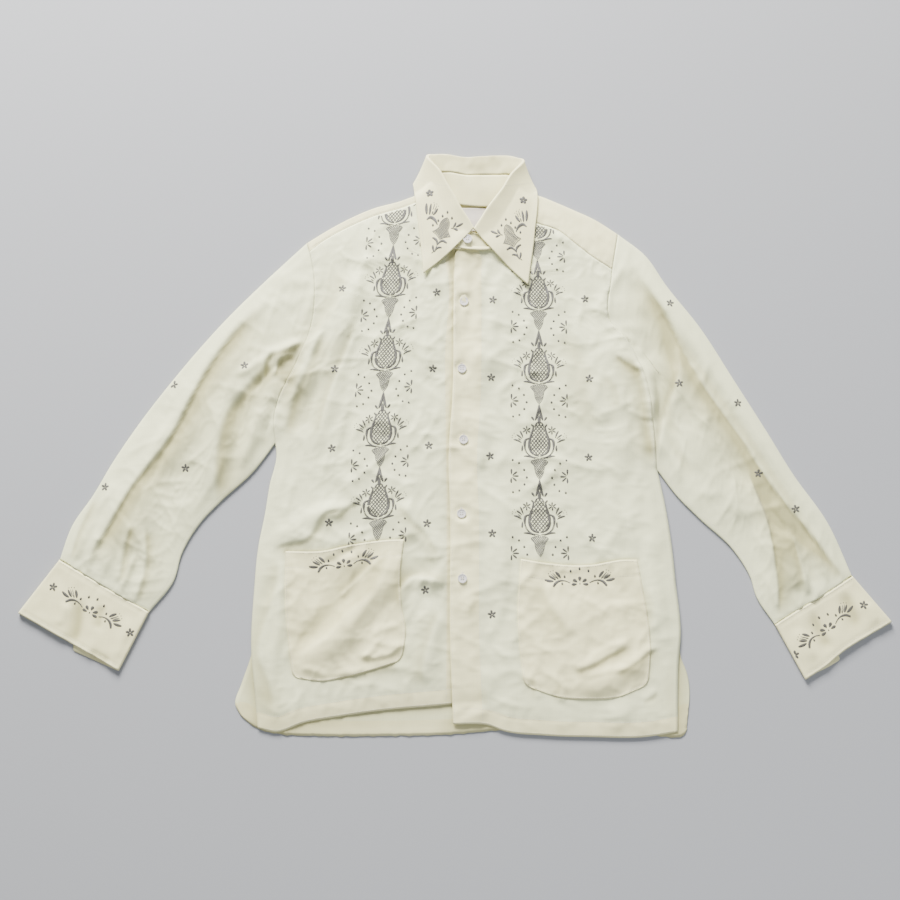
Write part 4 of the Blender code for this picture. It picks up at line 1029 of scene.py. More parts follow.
def cloth_material(name, colour, edge_colour):
    """Fine plain-woven cloth: slubbed threads both ways, creamier where doubled, with warm painted shade in
    its troughs, inside the neck and beside the edges that lie on it.
    """
    finish, add = new_material(name)
    if add is None:
        return finish
    place = add("TexCoord", {}).outputs["Object"]
    # Slubs: noise drawn out along each thread direction
    slubs = []
    for scale in ((900.0, 42.0, 1.0), (42.0, 900.0, 1.0)):
        run = add("Mapping", {"Scale": scale, "Vector": place}).outputs["Vector"]
        slubs.append(add("TexNoise", {"Scale": 1.0, "Detail": 3.0, "Vector": run}).outputs["Fac"])
    weave = add("Math", {0: slubs[0], 1: slubs[1]}, operation="ADD").outputs[0]
    mottle = add("TexNoise", {"Scale": 22.0, "Detail": 4.0, "Vector": place}).outputs["Fac"]
    tones = [
        add("MapRange", {"Value": value, "From Min": a, "From Max": b, "To Min": c, "To Max": d}).outputs[0]
        for value, a, b, c, d in ((mottle, 0.3, 0.7, 0.965, 1.02), (weave, 0.7, 1.3, 0.955, 1.03))
    ]
    tone = add("Math", {0: tones[0], 1: tones[1]}, operation="MULTIPLY").outputs[0]
    # Double where the way to the front edge or the hem is shorter than the band
    edges = add("UVMap", {}, uv_map="edges").outputs["UV"]
    split = add("SeparateXYZ", {0: edges}).outputs
    closer = add("Math", {0: split["X"], 1: split["Y"]}, operation="MINIMUM").outputs[0]
    doubled = add("Math", {0: closer, 1: 0.0}, operation="LESS_THAN").outputs[0]
    base = add("Mix", {"Factor": doubled, "A": (*colour, 1), "B": (*edge_colour, 1)}, data_type="RGBA")
    # Painted shade: the colour goes towards the painted shade's colour by the mesh's painted shade attribute
    depth = add("Attribute", {}, attribute_name="hollow").outputs["Fac"]
    share = add("Math", {0: depth, 1: PAINTED_SHADE_SHARE}, operation="MULTIPLY").outputs[0]
    hollow = (*settings()[0].painted_shade_colour, 1)
    painted_shade_mix = add("Mix", {"Factor": share, "A": base.outputs["Result"], "B": hollow}, data_type="RGBA")
    shaded = add("VectorMath", {0: painted_shade_mix.outputs["Result"], "Scale": tone}, operation="SCALE").outputs[0]
    # Small crumples: ridged noise, longer down the shirt than across
    turned = {"Scale": (24.0, 11.0, 4.0), "Rotation": (0.0, 0.0, math.radians(14)), "Vector": place}
    crumple = add(
        "TexNoise",
        {"Scale": 1.0, "Detail": 2.0, "Roughness": 0.4, "Distortion": 0.5,
         "Vector": add("Mapping", turned).outputs["Vector"]},
        noise_type="RIDGED_MULTIFRACTAL", normalize=True,
    ).outputs["Fac"]
    soft = add("Bump", {"Strength": 1.0, "Distance": 0.0014, "Height": crumple}).outputs[0]
    bump = add("Bump", {"Strength": 0.35, "Distance": 0.00012, "Height": weave, "Normal": soft}).outputs[0]
    add("Principled", {
        "Roughness": 0.62, "Sheen Weight": 0.22, "Sheen Roughness": 0.45, "Specular IOR Level": 0.32,
        "Base Color": shaded, "Normal": bump,
    })
    return finish


def thread_material(name, colour, across, roughness):
    """Thread laid side by side: fine stripes across each stroke's UV, and a colour that wanders a little."""
    finish, add = new_material(name)
    if add is None:
        return finish
    edges = add("UVMap", {}, uv_map="edges").outputs["UV"]
    striped = {"Scale": across, "Distortion": 1.2, "Detail": 1.5, "Vector": edges}
    stripes = add("TexWave", striped, bands_direction="X").outputs["Fac"]
    place = add("TexCoord", {}).outputs["Object"]
    wander = add("TexNoise", {"Scale": 260.0, "Detail": 2.0, "Vector": place}).outputs["Fac"]
    mixed = add("Math", {0: stripes, 1: 0.45, 2: wander}, operation="MULTIPLY_ADD").outputs[0]
    tone = ramp(add, mixed, [0.72 * c for c in colour], [min(1, 1.25 * c) for c in colour], 0.2)
    bump = add("Bump", {"Strength": 0.5, "Distance": 0.00015, "Height": stripes}).outputs[0]
    add("Principled", {"Roughness": roughness, "Sheen Weight": 0.15, "Base Color": tone, "Normal": bump})
    return finish


def armhole_x(seam, y):
    return np.interp(y, seam[::-1, 1], seam[::-1, 0])


def at_levels(line, levels):
    """The polyline's X at each level of Y, for a line that runs down the shirt."""
    falling = np.minimum.accumulate(line[:, 1])
    return np.stack([np.interp(levels, falling[::-1], line[::-1, 0]), levels], -1)


def front_plan(at):
    """A front's plan: a patch between armhole and side, neck and front edge, the yoke's seam and the hem."""
    first = at is LEFT
    arm = smooth(at.armhole, 60)
    columns = smooth(at.fold, 60)
    weight = 1 - shares(60) if first else shares(60)
    x = columns[:, 0] + weight * (armhole_x(arm, columns[:, 2]) - arm[0, 0] - at.way * ARMHOLE_GAP)
    top = np.stack([x, columns[:, 2] - YOKE_SEAM_GAP], -1)
    corner, neck = (top[0], top[-1]) if first else (top[-1], top[0])
    across = int(abs(corner[0] - neck[0]) / CELL * 1.5)
    side = smooth(at.side, 80)
    outer = np.concatenate([[corner], arm[arm[:, 1] < corner[1] - 1], side[1:]])
    centre = smooth([tuple(neck), *at.centre[1:]], 160)
    down = shares(int((corner[1] - side[-1, 1]) / CELL))
    outer = at_levels(outer, corner[1] + (side[-1, 1] - corner[1]) * down)
    centre = at_levels(centre, neck[1] + (centre[-1, 1] - neck[1]) * down)
    top = evenly(top, across)
    left, right = (outer, centre) if first else (centre, outer)
    top[0], top[-1] = left[0], right[0]
    return patch(top, smooth(at.hem, across), left, right, down)


def band_and_hem(at, x, y):
    """For each point, how far it lies outside the front band and outside the hem, in metres."""
    from_edge = distance_to(front_edge(at, 120, BAND_TOP), x, y)
    from_hem = distance_to(smooth(at.hem, 60), x, y)
    return np.stack([from_edge - BAND_WIDTH, from_hem - HEM_WIDTH], -1) * MM


class SHIRT_OT_back(bpy.types.Operator):
    """Make the back panel, which shows below the fronts and beside the vents"""

    bl_idname = "shirt.add_back"
    bl_label = "Back"

    def execute(self, context):
        """A patch between the sides, the yoke's seam and the hem; its free edges ripple off the floor."""
        left, right = (np.concatenate([smooth(at.armhole, 40), smooth(at.back_side, 60)[1:]]) for at in SIDES)
        left[:, 0] += ARMHOLE_GAP
        right[:, 0] -= ARMHOLE_GAP
        top_level = YOKE_BACK_SEAM - SEAM_GAP
        down = shares(int((top_level - BACK_HEM[0][1]) / BACK_CELL))
        sides = (left, right)
        left, right = (at_levels(line, top_level + (line[-1, 1] - top_level) * down) for line in sides)
        across = int((right[0, 0] - left[0, 0]) / BACK_CELL)
        top = np.stack([np.linspace(left[0, 0], right[0, 0], across + 1), np.full(across + 1, top_level)], -1)
        plan = patch(top, smooth(BACK_HEM, across), left, right, down)
        x, y = plan[..., 0], plan[..., 1]
        to_hem, along = nearest(smooth(BACK_HEM, 80), x, y)
        z = fall(to_hem, 26.0) * (0.9 + 0.9 * puckers(along, 5, 26.0))
        z += 0.8 * fall(to_hem - HEM_WIDTH, 6.0, 2) * (0.5 + 0.5 * puckers(along, 6, 11.0))
        to_corner = np.hypot(x - BACK_HEM[0][0], y - BACK_HEM[0][1])
        z += 1.6 * fall(to_corner, 16.0) * (0.6 + 0.6 * puckers(x + y, 7, 13.0))
        y += 0.9 * puckers(along, 8, 14.0) * fall(to_hem, 7.0)
        z *= smooth_step((y[0, 0] - y) / 60) * np.clip(to_hem / 1.5, 0.25, 1)
        # Painted shadow on the back beside the fronts' sides and hems, which lie over it
        edges = np.concatenate([
            smooth(LEFT.side, 60), smooth(LEFT.hem, 60), smooth(RIGHT.hem, 60), smooth(RIGHT.side, 60)[::-1],
        ])
        add_cloth(
            "back_cloth", "back", with_height(plan, np.maximum(z, 0)), "cloth", settings()[0].thickness,
            ((0.58, 0.617), "laid", []), uv=np.stack([np.ones(z.shape), (to_hem - HEM_WIDTH) * MM], -1),
            hollow=0.9 * fall(distance_to(edges, x, y), 20.0),
        )
        return {"FINISHED"}


class SHIRT_OT_yoke(bpy.types.Operator):
    """Make the yoke, which runs flat under the neck and folds forwards over both shoulders"""

    bl_idname = "shirt.add_yoke"
    bl_label = "Yoke"

    def execute(self, context):
        """Columns that run up the back, round each shoulder's fold in a half circle, and down in front."""
        shoulder = shares(46)
        left, right = (curve(at.fold, shoulder) for at in SIDES)
        neck = smooth(YOKE_NECK, 48)[1:-1]
        columns_x, fold_y, seam_y = np.concatenate([left, neck[:, [0, 1, 1]], right]).T
        on_neck = np.zeros(len(columns_x), bool)
        on_neck[len(left) : len(left) + len(neck)] = True
        rest = np.zeros(len(left) + len(neck))
        to_left, to_right = np.concatenate([1 - shoulder, rest]), np.concatenate([rest, shoulder])
        arm_left, arm_right = (smooth(at.armhole, 60) for at in SIDES)

        def x_at(y):
            shift_left = armhole_x(arm_left, y) - arm_left[0, 0] + ARMHOLE_GAP
            shift_right = armhole_x(arm_right, y) - arm_right[0, 0] - ARMHOLE_GAP
            return columns_x + shift_left * to_left + shift_right * to_right

        radius = EDGE_HEIGHT / 2
        reach = np.where(on_neck, 0.0, radius)
        lower_y = YOKE_BACK_SEAM + (fold_y - reach - YOKE_BACK_SEAM) * shares(YOKE_BACK_ROWS)[:, None]
        lower = np.stack([x_at(lower_y), lower_y, np.zeros_like(lower_y)], -1)
        turn = []
        for angle in np.radians(FOLD_ANGLES):
            y = fold_y - reach + reach * math.cos(angle)
            turn.append(np.stack([x_at(y), y, np.full_like(y, radius + radius * math.sin(angle))], -1))
        upper_y = fold_y - reach + (seam_y - fold_y + reach) * shares(YOKE_FRONT_ROWS)[:, None]
        upper = np.stack([x_at(upper_y), upper_y, cloth_height(x_at(upper_y), upper_y)], -1)
        points = np.concatenate([lower, np.stack(turn), upper])
        faces = grid_faces(*points.shape[:2]).reshape(len(points) - 1, -1, 4)
        off_neck = ~(on_neck[:-1] | on_neck[1:])
        kept = [faces[:YOKE_BACK_ROWS].reshape(-1, 4), faces[YOKE_BACK_ROWS:, off_neck].reshape(-1, 4)]
        # Painted shade: troughs on the front layer, and an even painted shade on the back layer, which lies
        # under the neck's opening
        hollow = painted_shade_of(points[..., 0], points[..., 1])
        hollow[: YOKE_BACK_ROWS + 1] = 0.15
        add_cloth(
            "yoke_cloth", "yoke", points, "double_cloth", settings()[0].thickness,
            ((0.43, 0.19), "folded", []), np.concatenate(kept), hollow=hollow, flip=True,
        )
        return {"FINISHED"}


def risen_to_stand(x, y, z, extra):
    """Raises a front towards its seam with the stand, so that both lie flush, and falls off as a bell."""
    seam = curve(NECK, shares(80), by="row")
    distance, along = nearest(seam[:, 0:2], x, y)
    level = np.interp(along, run_along(seam[:, 0:2]), seam[:, 2]) + extra
    return z + fall(distance, STAND_RISE_REACH, 2) * (level - z)


def painted_edge_shadows(at, x, y):
    """Painted shadow lines beside the edges that lie on a front: the pocket's top and its sewn edge, and on
    the left front the right front's edge; each falls off as exp(-distance / reach).
    """
    found = 0.7 * fall(distance_to(smooth(at.pocket[0], 40), x, y), 2.4)
    found += 0.3 * fall(distance_to(pocket_outline(at.pocket, 0.0), x, y), 2.4)
    if at is LEFT:
        found += 0.9 * fall(distance_to(front_edge(RIGHT, 160, 247), x, y), 4.0)
    return found


def box_of(node):
    """The lowest and the highest corner of a kept solid, in mm of the shirt's plan."""
    corners = np.array([node.matrix_world @ Vector(corner) for corner in node.bound_box]) / MM
    corners[:, :2] -= ORIGIN_SHIFT
    return corners.min(0), corners.max(0)


def seated(x, y, z):
    """Draws the cloth to the underside of each button: exp(-(distance / reach)^4) of the way."""
    for name, node in NODES.items():
        if name.startswith("button_"):
            low, high = box_of(node)
            distance = np.hypot(x - (low[0] + high[0]) / 2, y - (low[1] + high[1]) / 2)
            z = z + fall(distance, BUTTON_SEAT, 4) * (low[2] - BUTTON_GAP - z)
    return z


class SHIRT_OT_fronts(bpy.types.Operator):
    """Make the two fronts, the right one lapped over the left one"""

    bl_idname = "shirt.add_fronts"
    bl_label = "Fronts"

    def execute(self, context):
        """Each front lies at the cloth's height; on the lap the right one steps up over the left one."""
        for at, flat in ((LEFT, (0.3, 0.705)), (RIGHT, (0.305, 0.69))):
            plan = front_plan(at)
            x, y = plan[..., 0], plan[..., 1]
            z = cloth_height(x, y)
            uv = band_and_hem(at, x, y)
            if at is LEFT:
                z = risen_to_stand(x, y, z, 0.0)
            else:
                z += LAP_LIFT * smooth_step((LAP_END - x) / LAP_SOFT)
                from_edge = uv[..., 0] / MM + BAND_WIDTH
                open_run = smooth_step((y + 60) / 70) * smooth_step((235 - y) / 60)
                z += 2.4 * open_run * fall(from_edge, 9.0, 2)
                z -= 0.7 * fall(from_edge, 2.2) * (1 - open_run)
                z = seated(x, y, risen_to_stand(x, y, z, STAND_LAP))
            # Painted shade in the troughs and patches, and painted shadow beside the pockets' edges and the
            # right front's edge
            add_cloth(
                f"front_{at.name}_cloth", f"front_{at.name}", with_height(plan, z), "cloth",
                settings()[0].thickness, (flat, "laid", ["back_cloth"]), uv=uv,
                hollow=np.clip(painted_shade_of(x, y) + painted_edge_shadows(at, x, y), 0, 1), flip=True,
            )
        return {"FINISHED"}


def tube(plan, lower_plan, height, radius):
    """A flattened tube: an upper layer, a half circle round each fold, and a lower layer on the floor."""
    first_run, last_run = unit(plan[:, 1] - plan[:, 0]), unit(plan[:, -2] - plan[:, -1])

    def inside(flat):
        share = shares(flat.shape[1] - 1)[None, :, None]
        return flat + radius * (first_run[:, None] * (1 - share) ** 2 + last_run[:, None] * share**2)

    upper, lower = inside(plan), inside(lower_plan)
    parts = []
    for edge, run, angles in ((0, first_run, FOLD_ANGLES), (-1, last_run, FOLD_ANGLES[::-1])):
        arc = []
        for angle in np.radians(angles):
            xy = upper[:, edge] - run * radius * math.cos(angle)
            arc.append(np.concatenate([xy, np.full((len(xy), 1), radius * (1 + math.sin(angle)))], -1))
        parts.append(np.stack(arc, 1))
    top = with_height(upper, height(upper[..., 0], upper[..., 1]))
    bottom = with_height(lower[:, ::-1], np.zeros(lower.shape[:2]))
    return np.concatenate([parts[0], top, parts[1], bottom], axis=1)


class SHIRT_OT_sleeves(bpy.types.Operator):
    """Make the two sleeves, flattened tubes with a fold along each edge"""

    bl_idname = "shirt.add_sleeves"
    bl_label = "Sleeves"

    def execute(self, context):
        """A patch from the armhole to the cuff's seam, doubled into a tube."""
        for at in SIDES:
            rows, columns = 180, 64
            plan = patch(
                smooth(at.armhole, columns), smooth(at.cuff_seam, columns), smooth(at.shoulder_to_cuff, rows),
                smooth(at.underarm_to_cuff, rows),
            )
            first_run, last_run = unit(plan[1] - plan[0]), unit(plan[-2] - plan[-1])
            plan[0] += ARMHOLE_GAP * first_run
            plan[-1] += SEAM_GAP * last_run
            points = tube(plan, plan, cloth_height, EDGE_HEIGHT / 2)
            # Painted shade in the sleeve's troughs and pleats
            add_cloth(
                f"sleeve_{at.name}_cloth", f"sleeve_{at.name}", points, "cloth", settings()[0].thickness,
                ((0.5, 0.5), "folded", []), grid_faces(*points.shape[:2], round_about=True),
                hollow=painted_shade_of(points[..., 0], points[..., 1]), flip=at is LEFT,
            )
        return {"FINISHED"}


class SHIRT_OT_cuffs(bpy.types.Operator):
    """Make the two cuffs, stiffer flattened bands"""

    bl_idname = "shirt.add_cuffs"
    bl_label = "Cuffs"

    def execute(self, context):
        """A band from the seam to the hem; its lower layer shows a little past the upper one."""
        for at in SIDES:
            rows, columns = shares(34)[:, None, None], shares(60)
            line, edge = curve(at.cuff_seam, columns), curve(at.cuff_hem, columns)
            plan = line[None] + (edge - line)[None] * rows
            under = np.interp(columns, *zip(*at.under_cuff))
            lower = plan + unit(edge - line)[None] * under[None, :, None] * rows

            def height(x, y):
                to_seam, along = nearest(line, x, y)
                to_hem, hem_along = nearest(edge, x, y)
                z = CUFF_HEIGHT + 0.3 * waves(1.7 * x, 1.7 * y) + DENT_STRENGTH * bells(at.dents, x, y)
                z += 0.35 * puckers(along, 21, 13.0) * fall(to_seam, 9)
                z += 0.3 * puckers(hem_along, 22, 21.0) * fall(to_hem, 12)
                z -= 0.5 * fall(to_hem - 5.0, 1.6, 2) + 0.5 * fall(to_seam - 4.0, 1.6, 2)
                ends = np.minimum(distance_to(plan[:, 0], x, y), distance_to(plan[:, -1], x, y))
                return CUFF_HEIGHT + (z - CUFF_HEIGHT) * smooth_step(ends / 8)

            points = tube(plan, lower, height, CUFF_HEIGHT / 2)
            # Painted shade in the cuff's dents
            add_cloth(
                f"cuff_{at.name}_cloth", f"cuff_{at.name}", points, "double_cloth",
                settings()[0].double_thickness, ((0.3, 0.09), "folded", []),
                grid_faces(*points.shape[:2], round_about=True),
                hollow=np.clip(-bells(at.dents, points[..., 0], points[..., 1]) / 1.7, 0, 1), flip=at is LEFT,
            )
        return {"FINISHED"}


def painted_neck_shade(points):
    """Painted shade inside the neck: more of it towards the back, and in soft patches."""
    x, y = points[..., 0], points[..., 1]
    return np.clip(0.26 * smooth_step((y - 270) / 40) + 0.14 * waves(1.6 * x, 1.6 * y), 0, 1)


class SHIRT_OT_stand(bpy.types.Operator):
    """Make the collar's stand, a band round the neck that laps at the centre front"""

    bl_idname = "shirt.add_stand"
    bl_label = "Collar stand"

    def execute(self, context):
        """Sections run from the neck's seam to the collar's seam, and lie on the pieces below."""
        table = np.asarray(NECK, float)
        start = [(*row, *table[0, [2, 5]]) for row in LEFT.stand_end]
        end = [(*row, *table[-1, [2, 5]]) for row in RIGHT.stand_end]
        rows = curve([*start, *table[:, [0, 1, 3, 4, 2, 5]], *end], shares(200), by="row")
        lower, upper = rows[:, [0, 1, 4]], rows[:, [2, 3, 5]]
        short = 1 - COLLAR_SEAM_GAP / np.linalg.norm(upper - lower, axis=1)[:, None]
        across = shares(14)[:, None, None]
        points = lower[None] + (upper - lower)[None] * short[None] * across
        x, y, z = points[..., 0], points[..., 1], points[..., 2]
        z += 0.35 * np.sin(math.pi * across[..., 0])
        thick = settings()[0].double_thickness / MM
        below = drape(x, y, cloths("yoke", "front_left", "front_right"))
        z[:] = np.maximum(z, np.where(below >= 0, below + 0.5 * REST_GAP + thick, 0))
        count = points.shape[1]
        z += (thick + 0.4) * smooth_step((np.arange(count) - 0.78 * count) / (0.1 * count))
        z[:] = seated(x, y, z)
        # Painted shade inside the neck
        add_cloth(
            "stand_cloth", "collar_stand", points, "double_cloth", settings()[0].double_thickness,
            ((0.46, 0.05), "folded", []), hollow=painted_neck_shade(points),
        )
        return {"FINISHED"}


class SHIRT_OT_collar(bpy.types.Operator):
    """Make the collar, from its seam over the roll and down to its two points"""

    bl_idname = "shirt.add_collar"
    bl_label = "Collar"

    def execute(self, context):
        """Each section is a straight band, a half circle round the roll, and a fall that settles below it."""
        table = curve(NECK, shares(220), by="row")
        seam, roll, edge = table[:, 3:6], table[:, 6:9], table[:, 9:12]
        lean, radius = np.radians(table[:, 12:13]), ROLL_SHARE * table[:, 13:14]
        flat = np.array([1.0, 1.0, 0.0])
        to_seam, to_edge = unit((seam - roll) * flat), unit((edge - roll) * flat)
        away = unit(-(0.6 * to_seam + to_edge))
        side = np.stack([-away[:, 1], away[:, 0], np.zeros(len(away))], -1)
        outwards = np.where(np.arange(len(away)) < len(away) / 2, -1.0, 1.0)
        side *= np.sign((side * to_edge).sum(1) + side[:, 0] * outwards * 1e-6)[:, None]
        swing = np.cos(lean) * side + np.sin(lean) * np.array([0.0, 0.0, 1.0])
        middle = roll - away * radius
        angles = np.radians(np.linspace(-90, 90, 13))
        turn = [middle + radius * (math.cos(a) * away + math.sin(a) * swing) for a in angles]
        band = [seam + (turn[0] - seam) * share for share in shares(8)[:-1]]
        fall_rows = []
        at_front = fall(np.minimum(shares(220), 1 - shares(220)), 0.05)
        for share in shares(38)[1:]:
            point = turn[-1] + (edge - turn[-1]) * share
            point[:, 2] = edge[:, 2] + (turn[-1][:, 2] - edge[:, 2]) * (1 - share) ** 2
            point[:, 1] -= FRONT_BOW * 4 * share * (1 - share) * at_front
            fall_rows.append(point)
        points = np.stack([*band, *turn, *fall_rows])
        x, y, z = points[..., 0], points[..., 1], points[..., 2]
        thick = settings()[0].double_thickness / MM
        below = drape(x, y, cloths("yoke", "front_left", "front_right", "stand"))
        lowest = eased(np.where(below >= 0, below + REST_GAP + thick + 0.5, 0), 4, 14)
        row = np.arange(len(points))[:, None]
        on_top = (np.sin(lean[:, 0]) > 0.3)[None, :] & (row >= len(band) + 7)
        z += np.where(on_top, 0.22 * waves(1.3 * x + 40, 1.3 * y), 0)
        inside = (row < len(band) + 4) & (y > 300)
        z += np.where(inside, 0.5 * waves(2.4 * x, 2.4 * y), 0)
        z[:] = np.where(on_top, np.maximum(z, lowest), np.maximum(z, 0))
        rests_on = ["stand_cloth", "front_left_cloth", "front_right_cloth"]
        # Painted shade on the collar's inside at the back of the neck
        add_cloth(
            "collar_cloth", "collar", points, "double_cloth", settings()[0].double_thickness,
            ((0.47, 0.125), "folded", rests_on), hollow=np.where(inside, painted_neck_shade(points), 0),
        )
        return {"FINISHED"}


class SHIRT_OT_pockets(bpy.types.Operator):
    """Make the two patch pockets, sewn down round three sides and open at the top"""

    bl_idname = "shirt.add_pockets"
    bl_label = "Pockets"

    def execute(self, context):
        """Each pocket follows the front below it, a little fuller in its middle and at its open edge."""
        thickness = settings()[0].thickness
        for at in SIDES:
            plan = pocket_plan(at.pocket, 70, 64)
            x, y = plan[..., 0], plan[..., 1]
            to_sewn = distance_to(pocket_outline(at.pocket, 0.0), x, y)
            to_top, along = nearest(plan[0], x, y)
            z = drape(x, y, cloths(f"front_{at.name}")) + REST_GAP + thickness / MM
            z += 0.8 * smooth_step(to_sewn / 16)
            z += 0.9 * fall(to_top, 9) * smooth_step(to_sewn / 20)
            z -= 0.3 * fall(to_top - POCKET_HEM_WIDTH, 1.5, 2)
            ripple = 0.3 * puckers(along, 31, 19.0) * fall(to_top - POCKET_HEM_WIDTH, 9, 2)
            z += ripple * smooth_step(to_sewn / 8)
            # Painted shade in the pocket's troughs
            add_cloth(
                f"pocket_{at.name}_cloth", f"pocket_{at.name}", with_height(plan, z), "double_cloth",
                thickness,
                ((0.172, 0.182), "laid", [f"front_{at.name}_cloth"]), hollow=painted_shade_of(x, y), flip=True,
            )
        return {"FINISHED"}


class SHIRT_OT_label(bpy.types.Operator):
    """Make the blank label inside the back of the neck"""

    bl_idname = "shirt.add_label"
    bl_label = "Label"

    def execute(self, context):
        """A small rectangle that bows up a little between its two sewn ends."""
        y, x = np.meshgrid(shares(18) - 0.5, shares(28) - 0.5, indexing="ij")
        z = 1.7 + 0.5 * (1 - (2 * x) ** 2) * (0.6 + 0.4 * np.sin(9 * y + 2))
        plan = np.stack([x * LABEL_SIZE[0] + LABEL_MIDDLE[0], y * LABEL_SIZE[1] + LABEL_MIDDLE[1]], -1)
        uv = np.stack([0.5 - np.abs(x), 0.5 - np.abs(y)], -1) * np.array(LABEL_SIZE) * MM - LABEL_BORDER * MM
        add_cloth(
            "label_tape", "label", with_height(plan, z), "label_tape", LABEL_THICKNESS,
            ((0.05, 0.034), "laid", ["yoke_cloth"]), uv=uv,
        )
        return {"FINISHED"}


# Satin strokes of one pineapple repeat, right half; the left half is its mirror.
# Columns: start X, Y; end X, Y; bow to the right of its run; half-width; share of the length where widest.
# X is measured from the band's middle line, Y down from the tip of the arch, in mm.
PINEAPPLE_STROKES = (
    (0.4, 0.0, 5.4, 23.4, -1.2, 1.45, 0.6),
    (6.7, 23.2, 10.6, 17.6, 0.3, 1.2, 0.55),
    (10.4, 27.5, 7.2, 31.6, 0.4, 0.9, 0.4),
    (6.2, 31.5, 3.4, 25.0, 0.4, 0.9, 0.5),
    (21.3, 47.2, 25.8, 36.6, 0.6, 0.95, 0.6),
    (22.6, 48.0, 30.4, 41.8, 0.4, 0.95, 0.6),
    (23.0, 53.5, 34.3, 48.7, 1.0, 1.0, 0.55),
    (24.0, 49.6, 28.2, 46.9, 0.0, 0.6, 0.5),
    (22.7, 56.0, 23.2, 64.8, -0.5, 1.05, 0.6),
    (5.0, 75.2, 21.4, 71.6, 1.4, 1.1, 0.55),
    (36.9, 96.8, 36.9, 88.4, 0.2, 1.0, 0.62),
    (36.0, 97.2, 29.3, 92.2, 0.0, 1.0, 0.62),
    (35.5, 98.4, 26.8, 98.4, 0.0, 1.0, 0.62),
    (36.0, 99.6, 29.8, 105.0, 0.0, 1.0, 0.62),
    (36.9, 100.0, 36.9, 107.9, 0.2, 1.0, 0.62),
)

# Long strokes of the same half: the outline, the stems. Columns: X, Y, half-width
PINEAPPLE_OUTLINE = (
    (7.6, 29.5, 0.9), (8.2, 34.6, 1.1), (10.6, 42.8, 1.4), (12.8, 50.7, 1.6), (13.2, 58.2, 1.6),
    (10.6, 65.8, 1.4), (5.2, 70.0, 1.0), (0.6, 71.2, 0.6),
)
PINEAPPLE_HOOK = ((13.5, 47.0, 0.7), (18.0, 49.6, 1.4), (19.3, 55.6, 1.4), (18.4, 62.4, 0.5))
PINEAPPLE_STEM = ((18.8, 60.0, 0.5), (15.6, 67.5, 0.45), (9.0, 72.4, 0.45), (1.4, 74.0, 0.35))
PINEAPPLE_VEIN = ((20.6, 56.0, 0.3), (17.8, 66.0, 0.3), (10.5, 73.6, 0.3))
PINEAPPLE_LINES = (PINEAPPLE_OUTLINE, PINEAPPLE_HOOK, PINEAPPLE_STEM, PINEAPPLE_VEIN)

# Dots of the same half. Columns: X, Y, radius
PINEAPPLE_DOTS = (
    (33.2, 40.6, 0.5), (35.5, 43.3, 0.5), (35.9, 46.0, 0.5), (31.6, 44.4, 0.4),
    (35.4, 77.0, 1.35), (27.0, 81.2, 1.35), (20.2, 90.0, 1.4), (16.6, 100.2, 1.45),
    (19.8, 109.4, 1.4), (26.4, 117.6, 1.35), (34.7, 120.0, 1.35),
)
DOTS_BEFORE_POCKET = 8

# Where the lattice and the pale pendant end. Columns: Y, half-width
LATTICE_SHAPE = (
    (24.5, 1.8), (28.0, 4.6), (31.0, 6.8), (35.0, 7.6), (42.8, 9.8), (50.7, 12.0), (58.2, 12.4), (65.8, 9.8),
    (70.0, 4.4), (70.8, 0.0),
)
LATTICE_PERIOD = 4.5
LATTICE_SLOPE = 0.8
LATTICE_HALF_WIDTH = 0.84
PENDANT_SHAPE = (
    (75.0, 0.0), (76.5, 8.0), (78.0, 12.0), (80.5, 11.4), (83.0, 8.2), (85.0, 6.8), (90.0, 6.2), (95.0, 5.0),
    (99.0, 2.9), (102.6, 0.0),
)
PENDANT_PERIOD = 2.6
PENDANT_HALF_WIDTH = 0.6
PENDANT_SLOPE = 0.75
FLORET_MIDDLE = (16.8, 35.9)
REPEAT_LENGTH = 102.5
REPEAT_START = 71.0

# The spray of the cuffs and pockets, right half, X outwards and Y up; columns as for the pineapple
SPRAY_STROKES = (
    (3.0, 2.0, 9.0, 5.9, 0.0, 1.3, 0.62),
    (3.6, 0.0, 11.2, -0.5, 0.4, 1.2, 0.6),
    (24.5, 7.6, 31.7, 16.2, -0.4, 1.15, 0.5),
    (30.6, 5.6, 40.2, 11.9, 0.4, 0.95, 0.5),
    (33.4, 3.8, 45.8, 6.3, 0.8, 1.15, 0.5),
    (27.6, 6.4, 30.6, 9.8, 0.0, 0.55, 0.5),
)
SPRAY_PALE = ((28.6, 8.4, 35.4, 15.0, 0.2, 0.45, 0.5), (30.0, 7.4, 37.8, 13.6, 0.2, 0.45, 0.5))
SPRAY_VINE = ((12.5, 1.2, 0.4), (18.5, 3.9, 0.5), (24.5, 4.3, 0.8), (31.0, 1.4, 1.2), (34.5, -3.2, 0.9))
SPRAY_DOTS = (
    (19.5, 9.3, 1.3), (11.6, 16.4, 1.35), (23.2, 0.6, 1.2), (34.4, 17.6, 0.5), (37.8, 16.2, 0.5),
    (40.4, 13.9, 0.5),
)

